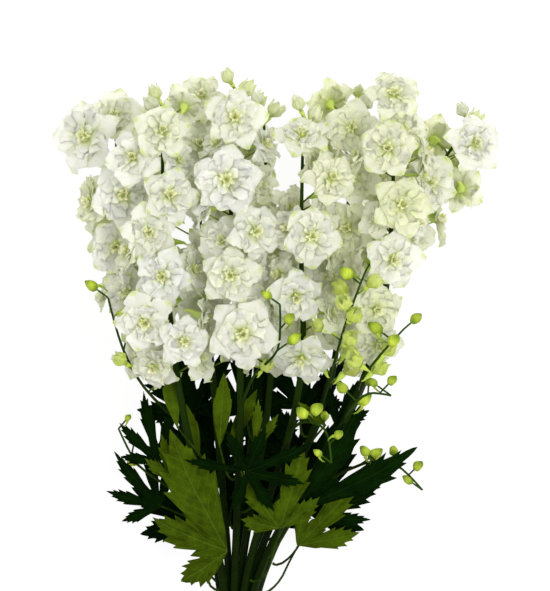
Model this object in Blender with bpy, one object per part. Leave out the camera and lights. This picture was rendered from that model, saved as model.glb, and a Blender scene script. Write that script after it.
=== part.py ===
"""A cut bunch of white delphiniums, tied and laid on its back.

Metres, +Z up. X runs across the bunch, Y runs from the cut ends to the flower tips, and Z rises from the
surface that the bunch lies on. Each plant is a green stem and a flower spike on top of it. The plan of the
bunch is in centimetres, measured from the cut ends, and the finished bunch is centred over its own box.
"""

import math
import random

import bmesh
import bpy
from mathutils import Matrix, Vector
from mathutils.bvhtree import BVHTree

CM = 0.01
GOLDEN_TURN = math.radians(137.5)
FRONT, MIDDLE, REAR = 2, 1, 0

# The stems and the tie
STEM_RADIUS = 0.0040
SPIKE_FOOT_RADIUS = 0.0030
SPIKE_TIP_RADIUS = 0.0011
STEM_SIDES = 6
SPIKE_SIDES = 4
STEM_SPACING = 0.0084
CUT_END_SPREAD = 1.5
TIE_HEIGHT = 0.115
TIE_WIDTH = 0.009
TIE_THICKNESS = 0.0016
BUNDLE_X = -0.041
BUNDLE_SLOPE = math.radians(7.0)
GAP = 0.0005
SEAT_GAP = 0.0004
CUT_END_CLEARANCE = 0.0001

# The florets and their stalks
FLORET_RADIUS = 0.0262
SMALLEST_FLORET = 0.62
FLORETS_PER_SPIKE = {FRONT: 14, MIDDLE: 14, REAR: 10}
STALK_RADIUS = 0.0009
STALK_SIDES = 3
STALK_ROOT_BELOW = 0.55
STRAIGHT_STALK = 0.7
PRESSED_THICKNESS = 0.0016
LOWEST_FLORET = 0.004
SWELL_FOR_CLEARANCE = 1.04

# The form of a floret in floret radii: how far out, and how high over its middle
PETALS = 5
EYE_HEIGHT = 0.14
INNER_REACH = (0.40, 0.46)
INNER_HEIGHT = 0.30
SEPAL_REACH = (0.96, 1.08)
SEPAL_HEIGHT = (-0.08, 0.12)
SEPAL_NOTCH = (0.74, 0.08)
BACK_NOTCH = (0.22, -0.16)
SPUR_TIP = (0.24, -0.78)
STALK_BEHIND_FLORET = ((0.0, -0.22, -0.44), (0.0, -0.08, -0.08))

# Florets with a chosen place: how far over the axis they are tried first, and the steps from there
SET_REACH = 0.036
SET_REACH_LOST_BY_LEAN = 0.012
SET_REACH_OF_A_BACK = 0.004
SET_STEP = 0.003
SET_TRIES = 12
DOWN_STEP = 0.001
DOWN_TRIES = 8

# Florets placed by the spiral: the slots up the spike and the order that they are filled in, the stretch
# of the spike that they cover, and the draws of size, reach, nod and shift
SPIRAL_SLOTS = 30
SLOT_STEP = 11
SPIRAL_TRIES = 24
SPIRAL_FOOT = 0.03
SPIRAL_SPAN = 0.85
SPIRAL_SIZE = 1.06
SPIRAL_SIZE_LOST = 0.22
SPIRAL_REACH = (0.024, 0.040)
SPIRAL_REACH_LOST = 0.008
SPIRAL_NOD = (-0.2, 0.5)
SPIRAL_SHIFT = 0.010
SPIRAL_RISE = 0.008
MOST_TURNED_IN = {FRONT: -0.35, MIDDLE: -0.1, REAR: 0.35}

# The buds at the tips and on the side shoots
BUD_RADIUS = 0.0045
BUD_SIDES = 4
BUD_SWELL = 1.1
BUD_LENGTH = 3.0
BUDS_PER_TIP = {FRONT: 2, MIDDLE: 2, REAR: 1}
TIP_BUD_TRIES = 6
TIP_BUD_STEP = 0.04
TIP_BUD_TOP = 0.012
TIP_BUD_STALK = 0.007
SHOOT_ROOT_RADIUS = 0.0016
SHOOT_TIP_RADIUS = 0.0009
SHOOT_LIFTS = (0.0, 0.006, -0.006, 0.012, -0.012, 0.018, 0.024, 0.030)
SHOOT_BARE = 0.30
SHOOT_BUD_TRIES = 8
SHOOT_BUD_TURN = 0.8
SHOOT_BUD_STALK = (0.009, 0.016)

# The open notch between the two halves of the bunch, where a bare spike shows
NOTCH_X = 0.003
NOTCH_HALF_WIDTH = 0.019
NOTCH_FLOOR = 0.500

# The right half of the bunch draws in under its shoulder
RIGHT_EDGE_X = 0.088
RIGHT_SHOULDER = 0.475

# The leaves
LEAF_HALF_THICKNESS = 0.0007
LEAF_ROOT_HALF_THICKNESS = 0.0012
LEAF_STALK_RADIUS = 0.0013
LEAF_STALK_RISE = 0.004
LEAF_STALK_SWINGS = 12
LEAF_STALK_ON_BLADE = 0.04
LEAF_LIFT = 0.0025
LEAF_LIFTS = sorted(range(-8, 17), key=abs)
LOWEST_LEAF = 0.006

# The form of a leaf in leaf lengths: its arch, and a lobe's midrib, teeth, dents and notches
ARCH_RISE = 0.10
ARCH_FALL = -0.26
LOBE_LENGTHS = (0.95, 1.04)
RIB_REACHES = (0.46, 0.72)
TOOTH_REACH = 0.68
DENT_REACH = 0.75
DENT_WIDTH = 0.50
NOTCH_DROP = 0.02
OUTER_NOTCH = 0.20
OUTER_NOTCH_TURN = 0.10

# The forms of a leaf. Each lobe, from the rightmost on: its turn from the leaf's own way in degrees, its
# length and half width in leaf lengths, and how far out the notch on its left is.
LEAF_FORMS = {
    "lance": ((0, 1.00, 0.125, 0.20),),
    "fork": ((-16, 0.84, 0.090, 0.46), (15, 1.00, 0.100, 0.22)),
    "trident": ((-34, 0.72, 0.110, 0.36), (0, 1.00, 0.120, 0.34), (36, 0.76, 0.110, 0.20)),
    "wing": ((-4, 1.00, 0.190, 0.46), (37, 0.64, 0.125, 0.28), (97, 0.46, 0.110, 0.16)),
    "hand": (
        (-30, 0.60, 0.110, 0.34), (6, 1.00, 0.150, 0.34), (54, 0.82, 0.120, 0.26), (94, 0.46, 0.100, 0.14),
    ),
    "scythe": (
        (-12, 1.00, 0.100, 0.40), (22, 0.96, 0.110, 0.26), (62, 0.52, 0.080, 0.16),
    ),
    "palm": (
        (-76, 0.58, 0.110, 0.24), (-38, 0.84, 0.125, 0.30), (0, 1.00, 0.130, 0.30),
        (38, 0.82, 0.125, 0.24), (76, 0.60, 0.110, 0.16),
    ),
    "cut_palm": (
        (-58, 0.62, 0.080, 0.18), (-28, 0.82, 0.085, 0.24), (2, 1.00, 0.085, 0.24),
        (34, 0.78, 0.080, 0.18), (68, 0.56, 0.075, 0.14),
    ),
    "star": (
        (-128, 0.60, 0.085, 0.16), (-78, 0.76, 0.090, 0.20), (-36, 0.84, 0.090, 0.24),
        (0, 1.00, 0.090, 0.20), (48, 0.70, 0.090, 0.18), (96, 0.66, 0.080, 0.16), (150, 0.84, 0.070, 0.14),
    ),
}

# Each plant: its row in the tied bundle and its place there, then the foot, middle and tip of its spike
PLANTS = {
    "far_left": (MIDDLE, -2.0, ((-9.8, 32.0, 8.4), (-14.2, 45.4, 10.2), (-15.4, 57.4, 10.6))),
    "left": (FRONT, -1.5, ((-9.4, 33.0, 13.4), (-10.6, 46.3, 15.2), (-10.8, 58.4, 15.4))),
    "centre_left": (MIDDLE, -1.0, ((-6.4, 33.4, 8.8), (-7.5, 46.3, 10.4), (-7.3, 58.8, 10.6))),
    "centre": (FRONT, -0.5, ((-3.8, 34.0, 13.6), (-4.6, 47.2, 15.4), (-4.2, 59.9, 15.2))),
    "notch": (MIDDLE, 0.0, ((-1.0, 34.3, 9.0), (-1.3, 47.2, 10.6), (-1.7, 58.2, 10.8))),
    "right_inner": (FRONT, 0.5, ((1.7, 33.9, 13.4), (1.7, 46.3, 15.4), (1.9, 57.4, 15.4))),
    "right": (MIDDLE, 1.0, ((4.6, 33.9, 8.8), (5.8, 46.3, 10.4), (6.8, 59.0, 10.6))),
    "right_outer": (FRONT, 1.5, ((8.0, 35.2, 13.0), (9.8, 47.2, 15.0), (10.0, 59.0, 15.0))),
    "far_right": (MIDDLE, 2.0, ((8.6, 35.6, 8.4), (10.8, 47.2, 10.0), (17.4, 57.2, 10.8))),
    "rear_left": (REAR, -1.5, ((-10.6, 34.3, 4.9), (-12.2, 46.0, 5.4), (-12.6, 57.0, 5.2))),
    "rear_centre": (REAR, -0.5, ((-2.4, 34.0, 5.0), (-3.0, 46.5, 5.5), (-3.2, 58.6, 5.2))),
    "rear_right": (REAR, 0.5, ((5.4, 34.3, 4.9), (8.0, 46.0, 5.4), (10.0, 57.6, 5.2))),
}

# Open florets that set the outline and the front: x and y of the middle, size, and the lean of the face to
# the right and up, where 0, 0 faces straight away from the surface. A face turned down has a minus size.
SET_FLORETS = {
    "far_left": (
        (-17.7, 55.5, 1.15, -0.5, 0.1),
        (-17.2, 49.6, 0.90, -1.5, 0.2),
        (-15.2, 57.4, 0.95, -0.2, 0.4),
        (-14.2, 50.2, 1.10, -0.1, 0.0),
        (-14.9, 45.6, 0.98, -0.3, -0.1),
        (-14.0, 41.4, 0.84, -0.4, 0.0),
    ),
    "left": (
        (-10.6, 55.7, 0.85, 0.1, 0.3),
        (-8.8, 58.2, -0.66, 0.5, 0.8),
        (-13.2, 53.4, 0.88, -0.3, 0.2),
        (-10.0, 50.0, 0.85, 0.2, 0.2),
        (-11.8, 46.8, 0.88, 0.0, -0.1),
        (-10.6, 42.9, 0.92, -0.2, -0.2),
        (-12.2, 38.8, 0.96, 0.0, -0.2),
        (-11.4, 34.8, 0.78, -0.5, -0.5),
    ),
    "centre_left": (
        (-7.3, 59.2, 0.75, 0.0, 0.5),
        (-7.4, 54.8, 0.94, 0.0, 0.3),
        (-8.4, 50.6, 0.84, -0.3, 0.0),
        (-6.5, 45.1, 0.94, 0.1, 0.0),
        (-7.2, 41.0, 0.86, 0.2, -0.6),
        (-8.0, 37.0, 0.80, -0.1, -1.3),
    ),
    "centre": (
        (-4.2, 56.9, 0.98, 0.1, 0.2),
        (-4.9, 51.4, 1.08, 0.0, 0.0),
        (-2.5, 46.8, 0.86, 0.4, 0.1),
        (-4.6, 43.0, 0.92, 0.0, -0.1),
        (-3.5, 37.8, 1.14, 0.0, -0.1),
    ),
    "notch": (
        (-3.0, 54.2, 0.74, -1.2, 0.4),
        (0.8, 49.0, 0.80, 0.7, 0.3),
        (-0.4, 44.6, 0.90, 0.2, 0.1),
        (-1.0, 40.2, 0.86, 0.0, 0.0),
        (-0.6, 36.0, 0.84, 0.0, -0.5),
    ),
    "right_inner": (
        (1.8, 55.4, 0.82, 0.0, 1.0),
        (4.3, 51.6, 0.84, 0.5, 0.2),
        (2.6, 46.4, 0.92, 0.1, 0.0),
        (1.2, 41.2, 0.86, 0.2, -0.5),
        (1.8, 35.7, 0.98, -0.2, -0.9),
    ),
    "right": (
        (6.3, 56.3, 0.88, 0.0, 0.2),
        (4.4, 58.8, -0.76, -0.6, 0.7),
        (6.6, 51.8, 0.88, 0.0, 0.1),
        (5.9, 47.2, 0.94, -0.2, 0.1),
        (4.6, 43.0, 0.88, -0.1, 0.0),
        (5.2, 38.2, 0.84, 0.0, -0.2),
    ),
    "right_outer": (
        (9.9, 59.0, 0.86, 0.1, 0.6),
        (9.4, 54.2, 0.90, -0.1, 0.1),
        (10.6, 49.2, 0.96, 0.2, 0.1),
        (9.8, 44.4, 0.94, 0.2, -0.1),
        (8.4, 40.0, 0.84, 0.2, -0.3),
        (8.6, 36.8, 0.76, 0.3, -0.6),
    ),
    "far_right": (
        (13.9, 55.4, -0.86, -0.5, 0.3),
        (17.4, 54.9, 1.00, 0.4, 0.1),
        (16.4, 50.9, -0.70, 0.5, -0.3),
        (13.3, 51.4, 0.96, 0.2, 0.1),
        (11.8, 46.6, 0.86, 0.6, -0.1),
    ),
    "rear_left": ((-12.3, 52.0, -0.95, -0.2, 0.0),),
    "rear_centre": ((-3.0, 38.5, -0.95, 0.0, 0.0),),
    "rear_right": ((9.0, 52.0, -0.95, 0.2, 0.0),),
}

# Side shoots with buds: the plant, where it leaves the stem, the way it takes, and the number of its buds
# and their size
SIDE_SHOOTS = (
    ("right", 30.0, ((4.3, 33.6, 14.6), (5.6, 38.6, 18.0), (7.3, 43.2, 18.8)), 11, 1.70),
    ("far_left", 29.0, ((-12.6, 32.8, 11.0), (-14.5, 36.4, 12.0), (-15.8, 41.0, 12.4)), 5, 1.40),
    ("right_outer", 29.5, ((6.2, 31.0, 14.2), (7.8, 32.4, 15.6), (9.8, 32.2, 15.4)), 5, 1.10),
    ("right_outer", 32.5, ((7.2, 33.8, 16.6), (8.6, 35.8, 18.2), (10.8, 38.2, 17.8)), 6, 1.45),
    ("far_right", 22.0, ((7.6, 25.6, 8.0), (10.4, 25.6, 8.8), (13.0, 23.2, 9.0)), 5, 1.15),
    ("far_left", 20.0, ((-10.4, 23.2, 6.6), (-13.4, 25.4, 7.0), (-15.2, 28.8, 7.4)), 4, 0.95),
    ("right_inner", 28.5, ((2.0, 29.8, 14.4), (3.8, 29.2, 15.8), (4.4, 26.2, 15.8)), 5, 1.10),
    ("centre", 31.0, ((-2.4, 34.2, 15.0), (-0.4, 36.4, 18.0), (-0.2, 40.4, 18.8)), 5, 1.30),
)

# Leaves: the plant, the height of the leaf stalk's foot on it, the leaf's joint, the way it points in
# degrees from +X, how far its face turns to the right and up, its length, its form and olive or dark
LEAVES = {
    "front_left": ("left", 13.4, (-5.0, 17.6, 8.4), 118, (-0.1, -0.35), 12.4, "wing", "olive"),
    "olive_centre": ("right_inner", 14.5, (-0.2, 19.8, 10.6), 71, (0.1, -0.4), 8.2, "hand", "olive"),
    "dark_star": ("centre", 21.0, (-3.2, 25.3, 13.0), 20, (0.1, -0.3), 6.8, "star", "dark"),
    "dark_right": ("right_outer", 17.0, (1.4, 21.6, 9.6), 36, (0.1, -0.3), 12.0, "scythe", "dark"),
    "olive_right": ("right_outer", 13.4, (1.4, 17.8, 7.2), 44, (0.1, -0.1), 8.6, "trident", "olive"),
    "lance_left": ("left", 25.0, (-9.5, 29.0, 13.2), 99, (-0.2, -0.1), 6.0, "lance", "olive"),
    "lance_narrow": ("left", 21.5, (-7.6, 26.3, 11.8), 104, (0.0, -0.1), 5.0, "lance", "olive"),
    "lance_centre": ("centre", 24.5, (-5.7, 27.4, 13.6), 86, (0.1, -0.1), 6.6, "lance", "olive"),
    "lance_slant": ("centre_left", 24.5, (-4.9, 27.6, 11.0), 62, (0.0, -0.1), 5.4, "lance", "olive"),
    "forked_small": ("centre", 24.0, (-2.4, 27.4, 13.8), 72, (0.0, -0.2), 4.4, "fork", "olive"),
    "olive_left": ("far_left", 20.5, (-9.9, 24.0, 9.6), 107, (-0.1, 0.0), 4.8, "trident", "olive"),
    "olive_high_right": ("right_inner", 26.5, (4.0, 29.4, 14.4), 140, (0.0, -0.1), 3.4, "lance", "olive"),
    "dark_left_high": ("far_left", 23.0, (-11.4, 25.8, 9.0), 106, (-0.3, 0.1), 7.0, "cut_palm", "dark"),
    "dark_left_low": ("rear_left", 17.0, (-11.4, 21.4, 6.0), 134, (-0.3, 0.0), 7.2, "cut_palm", "dark"),
    "dark_right_low": ("far_right", 16.0, (3.0, 20.4, 5.6), 10, (0.2, -0.1), 7.0, "fork", "dark"),
    "right_high": ("far_right", 26.0, (5.0, 29.0, 9.0), 60, (0.3, 0.2), 5.4, "trident", "dark"),
    "inner_left": ("far_left", 27.5, (-8.4, 30.0, 7.0), 98, (0.0, 0.0), 8.4, "palm", "dark"),
    "inner_centre": ("notch", 27.5, (-3.4, 30.2, 8.0), 94, (0.0, 0.0), 7.6, "palm", "dark"),
    "inner_right": ("right", 28.0, (1.8, 30.6, 8.0), 84, (0.0, 0.0), 7.2, "palm", "dark"),
    "deep_left": ("rear_left", 20.0, (-6.8, 24.4, 5.0), 96, (0.0, 0.0), 8.4, "palm", "dark"),
    "deep_centre": ("rear_centre", 13.0, (-2.0, 19.4, 4.0), 88, (0.0, 0.0), 8.8, "palm", "dark"),
    "deep_right": ("rear_right", 20.0, (1.8, 25.2, 5.0), 78, (0.0, 0.0), 8.2, "palm", "dark"),
    "rear_left_wide": ("rear_left", 14.0, (-8.0, 19.4, 2.6), 114, (-0.1, 0.1), 9.4, "palm", "dark"),
    "rear_centre_wide": ("rear_centre", 19.0, (-2.6, 24.6, 2.6), 92, (0.0, 0.1), 8.6, "palm", "dark"),
    "rear_right_wide": ("rear_right", 15.0, (2.6, 20.4, 2.6), 60, (0.1, 0.1), 9.4, "palm", "dark"),
}

# Colours: base colour and roughness
FINISHES = {
    "petal": ((0.90, 0.91, 0.86, 1.0), 0.55),
    "stem": ((0.10, 0.19, 0.04, 1.0), 0.50),
    "olive": ((0.13, 0.20, 0.04, 1.0), 0.50),
    "dark": ((0.03, 0.07, 0.02, 1.0), 0.45),
    "tie": ((0.55, 0.38, 0.20, 1.0), 0.80),
}


class Solid:
    """One small closed solid of a plant, and what is needed to keep it clear of the others."""

    def __init__(self, owner, kind, verts, faces):
        self.owner = owner
        self.kind = kind
        self.verts = verts
        self.faces = faces
        self.centre = sum(verts, Vector()) / len(verts)
        self.reach = max((v - self.centre).length for v in verts) * SWELL_FOR_CLEARANCE
        swollen = [self.centre + (v - self.centre) * SWELL_FOR_CLEARANCE for v in verts]
        self.trees = [BVHTree.FromPolygons(points, faces) for points in (verts, swollen)]

    def clear_of(self, others):
        """True where this solid crosses none of the others that it has to stay clear of."""
        for other in others:
            if (self.centre - other.centre).length > self.reach + other.reach:
                continue
            if self.owner == other.owner and "floret" not in (self.kind, other.kind):
                continue
            if any(mine.overlap(its) for mine, its in zip(self.trees, other.trees)):
                return False
        return True


def smooth_path(points, steps):
    """Points of a smooth curve through the given ones, with so many steps in each stretch."""
    chords = [b - a for a, b in zip(points, points[1:])]
    ways = [chords[0].normalized()]
    ways += [(a.normalized() + b.normalized()).normalized() for a, b in zip(chords, chords[1:])]
    ways.append(chords[-1].normalized())
    path = []
    for i, chord in enumerate(chords):
        start, end = points[i], points[i + 1]
        out, into = ways[i] * chord.length, ways[i + 1] * chord.length
        for k in range(steps[i]):
            t = k / steps[i]
            path.append(
                start * (2 * t**3 - 3 * t**2 + 1)
                + out * (t**3 - 2 * t**2 + t)
                + end * (3 * t**2 - 2 * t**3)
                + into * (t**3 - t**2)
            )
    path.append(points[-1].copy())
    return path


def at_height(path, height):
    """The point of a rising path at one height along Y."""
    for a, b in zip(path, path[1:]):
        if b.y >= height:
            return a.lerp(b, max(0.0, (height - a.y) / (b.y - a.y)))
    return path[-1].copy()


def tube(path, radii, sides):
    """A closed tube of triangles along a path, with flat ends."""
    ways = [(b - a).normalized() for a, b in zip(path, path[1:])]
    ways = [ways[0]] + [(a + b).normalized() for a, b in zip(ways, ways[1:])] + [ways[-1]]
    across = Vector((1.0, 0.0, 0.0))
    if max(abs(way.x) for way in ways) > 0.9:
        across = Vector((0.0, 0.0, 1.0))
    verts = []
    for point, way, radius in zip(path, ways, radii):
        u = (across - way * across.dot(way)).normalized()
        v = way.cross(u)
        for k in range(sides):
            turn = math.tau * k / sides
            verts.append(point + u * (radius * math.cos(turn)) + v * (radius * math.sin(turn)))
    faces = []
    for ring in range(len(path) - 1):
        for k in range(sides):
            a = ring * sides + k
            b = ring * sides + (k + 1) % sides
            faces += [(a, b, b + sides), (a, b + sides, a + sides)]
    last = (len(path) - 1) * sides
    for k in range(1, sides - 1):
        faces += [(0, k + 1, k), (last, last + k, last + k + 1)]
    return verts, faces


def facing_frame(middle, face, away):
    """The place of a floret: its own +Z looks along face, and its spur's side, +Y, is turned away."""
    up = (away - face * away.dot(face)).normalized()
    turned = Matrix((up.cross(face), up, face)).transposed().to_4x4()
    return Matrix.Translation(middle) @ turned


def pressed(vert, lowest):
    """A point of a petal, kept from sinking into the surface that the bunch lies on."""
    return Vector((vert.x, vert.y, max(vert.z, lowest)))


def floret_shape(frame, radius, draw):
    """Five outer sepals round a raised ring of inner petals, and a spur behind, as one closed solid."""
    sector = math.tau / PETALS

    def point(turn, reach, height):
        spot = Vector((reach * math.cos(turn), reach * math.sin(turn), height)) * radius
        return frame @ spot

    front = [point(0.0, 0.0, EYE_HEIGHT)]
    rim = []
    back = []
    for i in range(PETALS):
        turn = sector * i
        between = turn + sector / 2
        lift = draw.uniform(*SEPAL_HEIGHT)
        length = draw.uniform(*SEPAL_REACH)
        front.append(point(between, draw.uniform(*INNER_REACH), INNER_HEIGHT))
        rim.append(point(turn, length, lift))
        rim.append(point(between, *SEPAL_NOTCH))
        back.append(point(between, *BACK_NOTCH))
    spur = point(math.pi / 2, *SPUR_TIP)
    verts = [pressed(v, 0.0) for v in front + rim]
    verts += [pressed(v, PRESSED_THICKNESS) for v in back + [spur]]

    faces = []
    ring, edge, rear = 1, 1 + PETALS, 1 + 3 * PETALS
    tip = rear + PETALS
    for i in range(PETALS):
        before = (i - 1) % PETALS
        inner, inner_before = ring + i, ring + before
        end, notch, notch_before = edge + 2 * i, edge + 2 * i + 1, edge + 2 * before + 1
        hollow, hollow_before = rear + i, rear + before
        faces += [(0, inner_before, inner), (inner_before, notch_before, end)]
        faces += [(inner_before, end, inner), (inner, end, notch)]
        faces += [(hollow_before, end, notch_before), (hollow_before, hollow, end), (hollow, notch, end)]
        faces.append((hollow_before, tip, hollow))
    return verts, faces


def bud(owner, root, outward, stalk_length, radius):
    """A bud and its stalk as one tapered solid, pointed at its tip."""
    widest = stalk_length + BUD_SWELL * radius
    lengths = (0.0, stalk_length, widest, stalk_length + BUD_LENGTH * radius)
    path = [pressed(root + outward * length, radius) for length in lengths]
    verts, faces = tube(path, (STALK_RADIUS * 0.8, STALK_RADIUS, radius, STALK_RADIUS * 0.5), BUD_SIDES)
    return Solid(owner, "bud", verts, faces)


def bundle_point(row, place, height):
    """The middle of a stem in the tied bundle, at one distance along it from the tie."""
    along = Vector((0.0, math.cos(BUNDLE_SLOPE), math.sin(BUNDLE_SLOPE)))
    row_rise = STEM_SPACING * math.sqrt(3) / 2
    end_clearance = STEM_RADIUS * math.cos(math.pi / STEM_SIDES) * math.cos(BUNDLE_SLOPE)
    lowest_row = end_clearance + CUT_END_CLEARANCE + TIE_HEIGHT * math.sin(BUNDLE_SLOPE)
    below_tie = max(0.0, -height - TIE_WIDTH) / (TIE_HEIGHT - TIE_WIDTH)
    spread = 1.0 + (CUT_END_SPREAD - 1.0) * below_tie
    at_tie = Vector((
        BUNDLE_X + place * STEM_SPACING * spread,
        TIE_HEIGHT * math.cos(BUNDLE_SLOPE),
        lowest_row + row * row_rise,
    ))
    return at_tie + along * height


def plant_paths(name):
    """The way of a plant's stem, from the cut end up, and of the spike on top of it."""
    row, place, spike = PLANTS[name]
    foot, middle, tip = (Vector(p) * CM for p in spike)
    points = [bundle_point(row, place, h) for h in (-TIE_HEIGHT, -TIE_WIDTH, TIE_WIDTH)]
    whole = smooth_path(points + [foot, middle, tip], (1, 1, 5, 4, 3))
    foot_ring = 7
    stem, spike_axis = whole[: foot_ring + 1], whole[foot_ring:]
    way = (spike_axis[1] - spike_axis[0]).normalized()
    stem[-1] = stem[-1] - way * (GAP / 2)
    spike_axis[0] = spike_axis[0] + way * (GAP / 2)
    return stem, spike_axis


def tapered(path, first, last):
    """A radius for each point of a path, from the first to the last."""
    steps = len(path) - 1
    return [first + (last - first) * k / steps for k in range(len(path))]


def hung_floret(owner, axis, middle, face, size, seed):
    """A floret at its place, and the stalk that holds it to the spike's axis from behind."""
    radius = FLORET_RADIUS * size
    nearest = at_height(axis, middle.y)
    root = at_height(axis, middle.y - STALK_ROOT_BELOW * (middle - nearest).length)
    frame = facing_frame(middle, face, middle - root)
    shape = Solid(owner, "floret", *floret_shape(frame, radius, random.Random(seed)))
    knee, entry = (frame @ (Vector(p) * radius) for p in STALK_BEHIND_FLORET)
    from_behind = face.dot((middle - root).normalized()) > STRAIGHT_STALK
    path = [pressed(p, STALK_RADIUS) for p in ([root, entry] if from_behind else [root, knee, entry])]
    holder = Solid(owner, "stalk", *tube(path, [STALK_RADIUS] * len(path), STALK_SIDES))
    return shape, holder


def set_florets(name, axis, solids):
    """The florets with a chosen place, each moved along Z until it is clear."""
    draw = random.Random("set " + name)
    made = []
    for x, y, size, lean_x, lean_y in SET_FLORETS[name]:
        down = size < 0
        face = Vector((lean_x, lean_y, -1.0 if down else 1.0)).normalized()
        seed = draw.random()
        beside = at_height(axis, y * CM)
        if down and PLANTS[name][0] == REAR:
            heights = [LOWEST_FLORET + DOWN_STEP * k for k in range(DOWN_TRIES)]
        else:
            reach = SET_REACH - SET_REACH_LOST_BY_LEAN * min(1.0, Vector((lean_x, lean_y)).length)
            reach = SET_REACH_OF_A_BACK if down else reach
            heights = [beside.z + reach + SET_STEP * k * (-1) ** k for k in range(SET_TRIES)]
        for height in heights:
            middle = Vector((x * CM, y * CM, height))
            shape, holder = hung_floret(name, axis, middle, face, abs(size), seed)
            if shape.clear_of(solids) and holder.clear_of(solids):
                solids += [shape, holder]
                made += [shape, holder]
                break
    return made


def faces_out(name, outward, middle):
    """True where a floret looks out of the bunch, and not at the next row, into the notch or over an edge."""
    row, place, _ = PLANTS[name]
    if middle.y > NOTCH_FLOOR and abs(middle.x - NOTCH_X) < NOTCH_HALF_WIDTH:
        return False
    if middle.y < RIGHT_SHOULDER and middle.x > RIGHT_EDGE_X:
        return False
    if row == REAR:
        return outward.z < MOST_TURNED_IN[row]
    at_side = row == MIDDLE and abs(place) == 2.0 and outward.x * place > 0
    return outward.z > MOST_TURNED_IN[row] or at_side


def spiral_florets(name, axis, solids):
    """Florets up the spike, a golden turn apart, wherever they look out and there is room for one."""
    draw = random.Random("spiral " + name)
    made = []
    foot, top = axis[0].y, axis[-1].y
    wanted = FLORETS_PER_SPIKE[PLANTS[name][0]] - len(SET_FLORETS[name])
    for slot in range(SPIRAL_SLOTS):
        rise = (slot * SLOT_STEP % SPIRAL_SLOTS + 0.5) / SPIRAL_SLOTS
        height = foot + (top - foot) * (SPIRAL_FOOT + SPIRAL_SPAN * rise)
        for attempt in range(SPIRAL_TRIES):
            loosen = attempt / SPIRAL_TRIES
            turn = GOLDEN_TURN * slot + draw.uniform(-1.0, 1.0) * math.pi * loosen
            outward = Vector((math.cos(turn), 0.0, math.sin(turn)))
            nod = draw.uniform(*SPIRAL_NOD)
            size = (SPIRAL_SIZE - SPIRAL_SIZE_LOST * rise) * (1.0 - (1.0 - SMALLEST_FLORET) * loosen)
            reach = draw.uniform(*SPIRAL_REACH) - SPIRAL_REACH_LOST * rise
            face = (outward + Vector((0.0, nod, 0.0))).normalized()
            shift = draw.uniform(-SPIRAL_SHIFT, SPIRAL_SHIFT) * loosen
            seed = draw.random()
            middle = at_height(axis, height + shift) + outward * reach + Vector((0.0, SPIRAL_RISE, 0.0))
            if middle.z < LOWEST_FLORET or not faces_out(name, outward, middle):
                continue
            shape, holder = hung_floret(name, axis, middle, face, size, seed)
            if shape.clear_of(solids) and holder.clear_of(solids):
                solids += [shape, holder]
                made += [shape, holder]
                break
        if len(made) >= 2 * wanted:
            break
    return made


def tip_buds(name, axis, solids):
    """The buds at the top of a spike, smaller toward its tip."""
    draw = random.Random("tip " + name)
    made = []
    length = axis[-1].y - axis[0].y
    buds = BUDS_PER_TIP[PLANTS[name][0]]
    for k in range(buds):
        below = TIP_BUD_TOP + TIP_BUD_STEP * (buds - 1 - k)
        root = at_height(axis, axis[-1].y - length * below)
        for attempt in range(TIP_BUD_TRIES):
            turn = GOLDEN_TURN * (k + attempt) + draw.uniform(-0.3, 0.3)
            outward = Vector((math.cos(turn), 1.2 + 0.4 * k, math.sin(turn))).normalized()
            grown = bud(name, root, outward, TIP_BUD_STALK, BUD_RADIUS * (1.45 - 0.25 * k))
            if grown.clear_of(solids):
                solids.append(grown)
                made.append(grown)
                break
    return made


def side_shoot(shoot, stem, solids):
    """A thin shoot from a stem, with buds on short stalks along it."""
    plant, leaves_at, way, buds, size = shoot
    owner = "stem_" + plant
    draw = random.Random("shoot %s %s" % (plant, leaves_at))
    start = at_height(stem, leaves_at * CM)
    points = [start] + [Vector(p) * CM for p in way]
    for lift in SHOOT_LIFTS:
        moved = [points[0]] + [p + Vector((0.0, 0.0, lift)) for p in points[1:]]
        path = smooth_path(moved, (2, 2, 2))
        radii = tapered(path, SHOOT_ROOT_RADIUS, SHOOT_TIP_RADIUS)
        twig = Solid(owner, "twig", *tube(path, radii, STALK_SIDES))
        if twig.clear_of(solids):
            break
    else:
        return []
    made = [twig]
    solids.append(twig)
    for k in range(buds):
        share = SHOOT_BARE + (1.0 - SHOOT_BARE) * k / (buds - 1)
        spot = share * (len(path) - 1)
        low = min(int(spot), len(path) - 2)
        root = path[low].lerp(path[low + 1], spot - low)
        for attempt in range(SHOOT_BUD_TRIES):
            turn = GOLDEN_TURN * k + SHOOT_BUD_TURN * attempt
            outward = Vector((math.cos(turn), 0.7, math.sin(turn))).normalized()
            radius = BUD_RADIUS * size * (1.15 - 0.45 * share) * draw.uniform(0.9, 1.1)
            grown = bud(owner, root, outward, draw.uniform(*SHOOT_BUD_STALK), radius)
            if grown.clear_of(solids):
                solids.append(grown)
                made.append(grown)
                break
    return made


def leaf_ways(heading, lean):
    """The way that a leaf points, the way to its left, and the way that its face looks."""
    normal = Vector((lean[0], lean[1], 1.0)).normalized()
    ahead = Vector((math.cos(heading), math.sin(heading), 0.0))
    ahead = (ahead - normal * ahead.dot(normal)).normalized()
    return ahead, normal.cross(ahead), normal


def leaf_notches(form):
    """The turn and the reach of each notch of a leaf, from right to left."""
    lobes = []
    for turn, reach, half_width, gap in LEAF_FORMS[form]:
        edge = math.atan2(half_width, TOOTH_REACH * reach)
        lobes.append((math.radians(turn) - edge, math.radians(turn) + edge, gap))
    notches = [(lobes[0][0] - OUTER_NOTCH_TURN, OUTER_NOTCH)]
    for (_, left, gap), (right, _, _) in zip(lobes, lobes[1:]):
        notches.append(((left + right) / 2, gap))
    notches.append((lobes[-1][1] + OUTER_NOTCH_TURN, lobes[-1][2]))
    return notches


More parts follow.
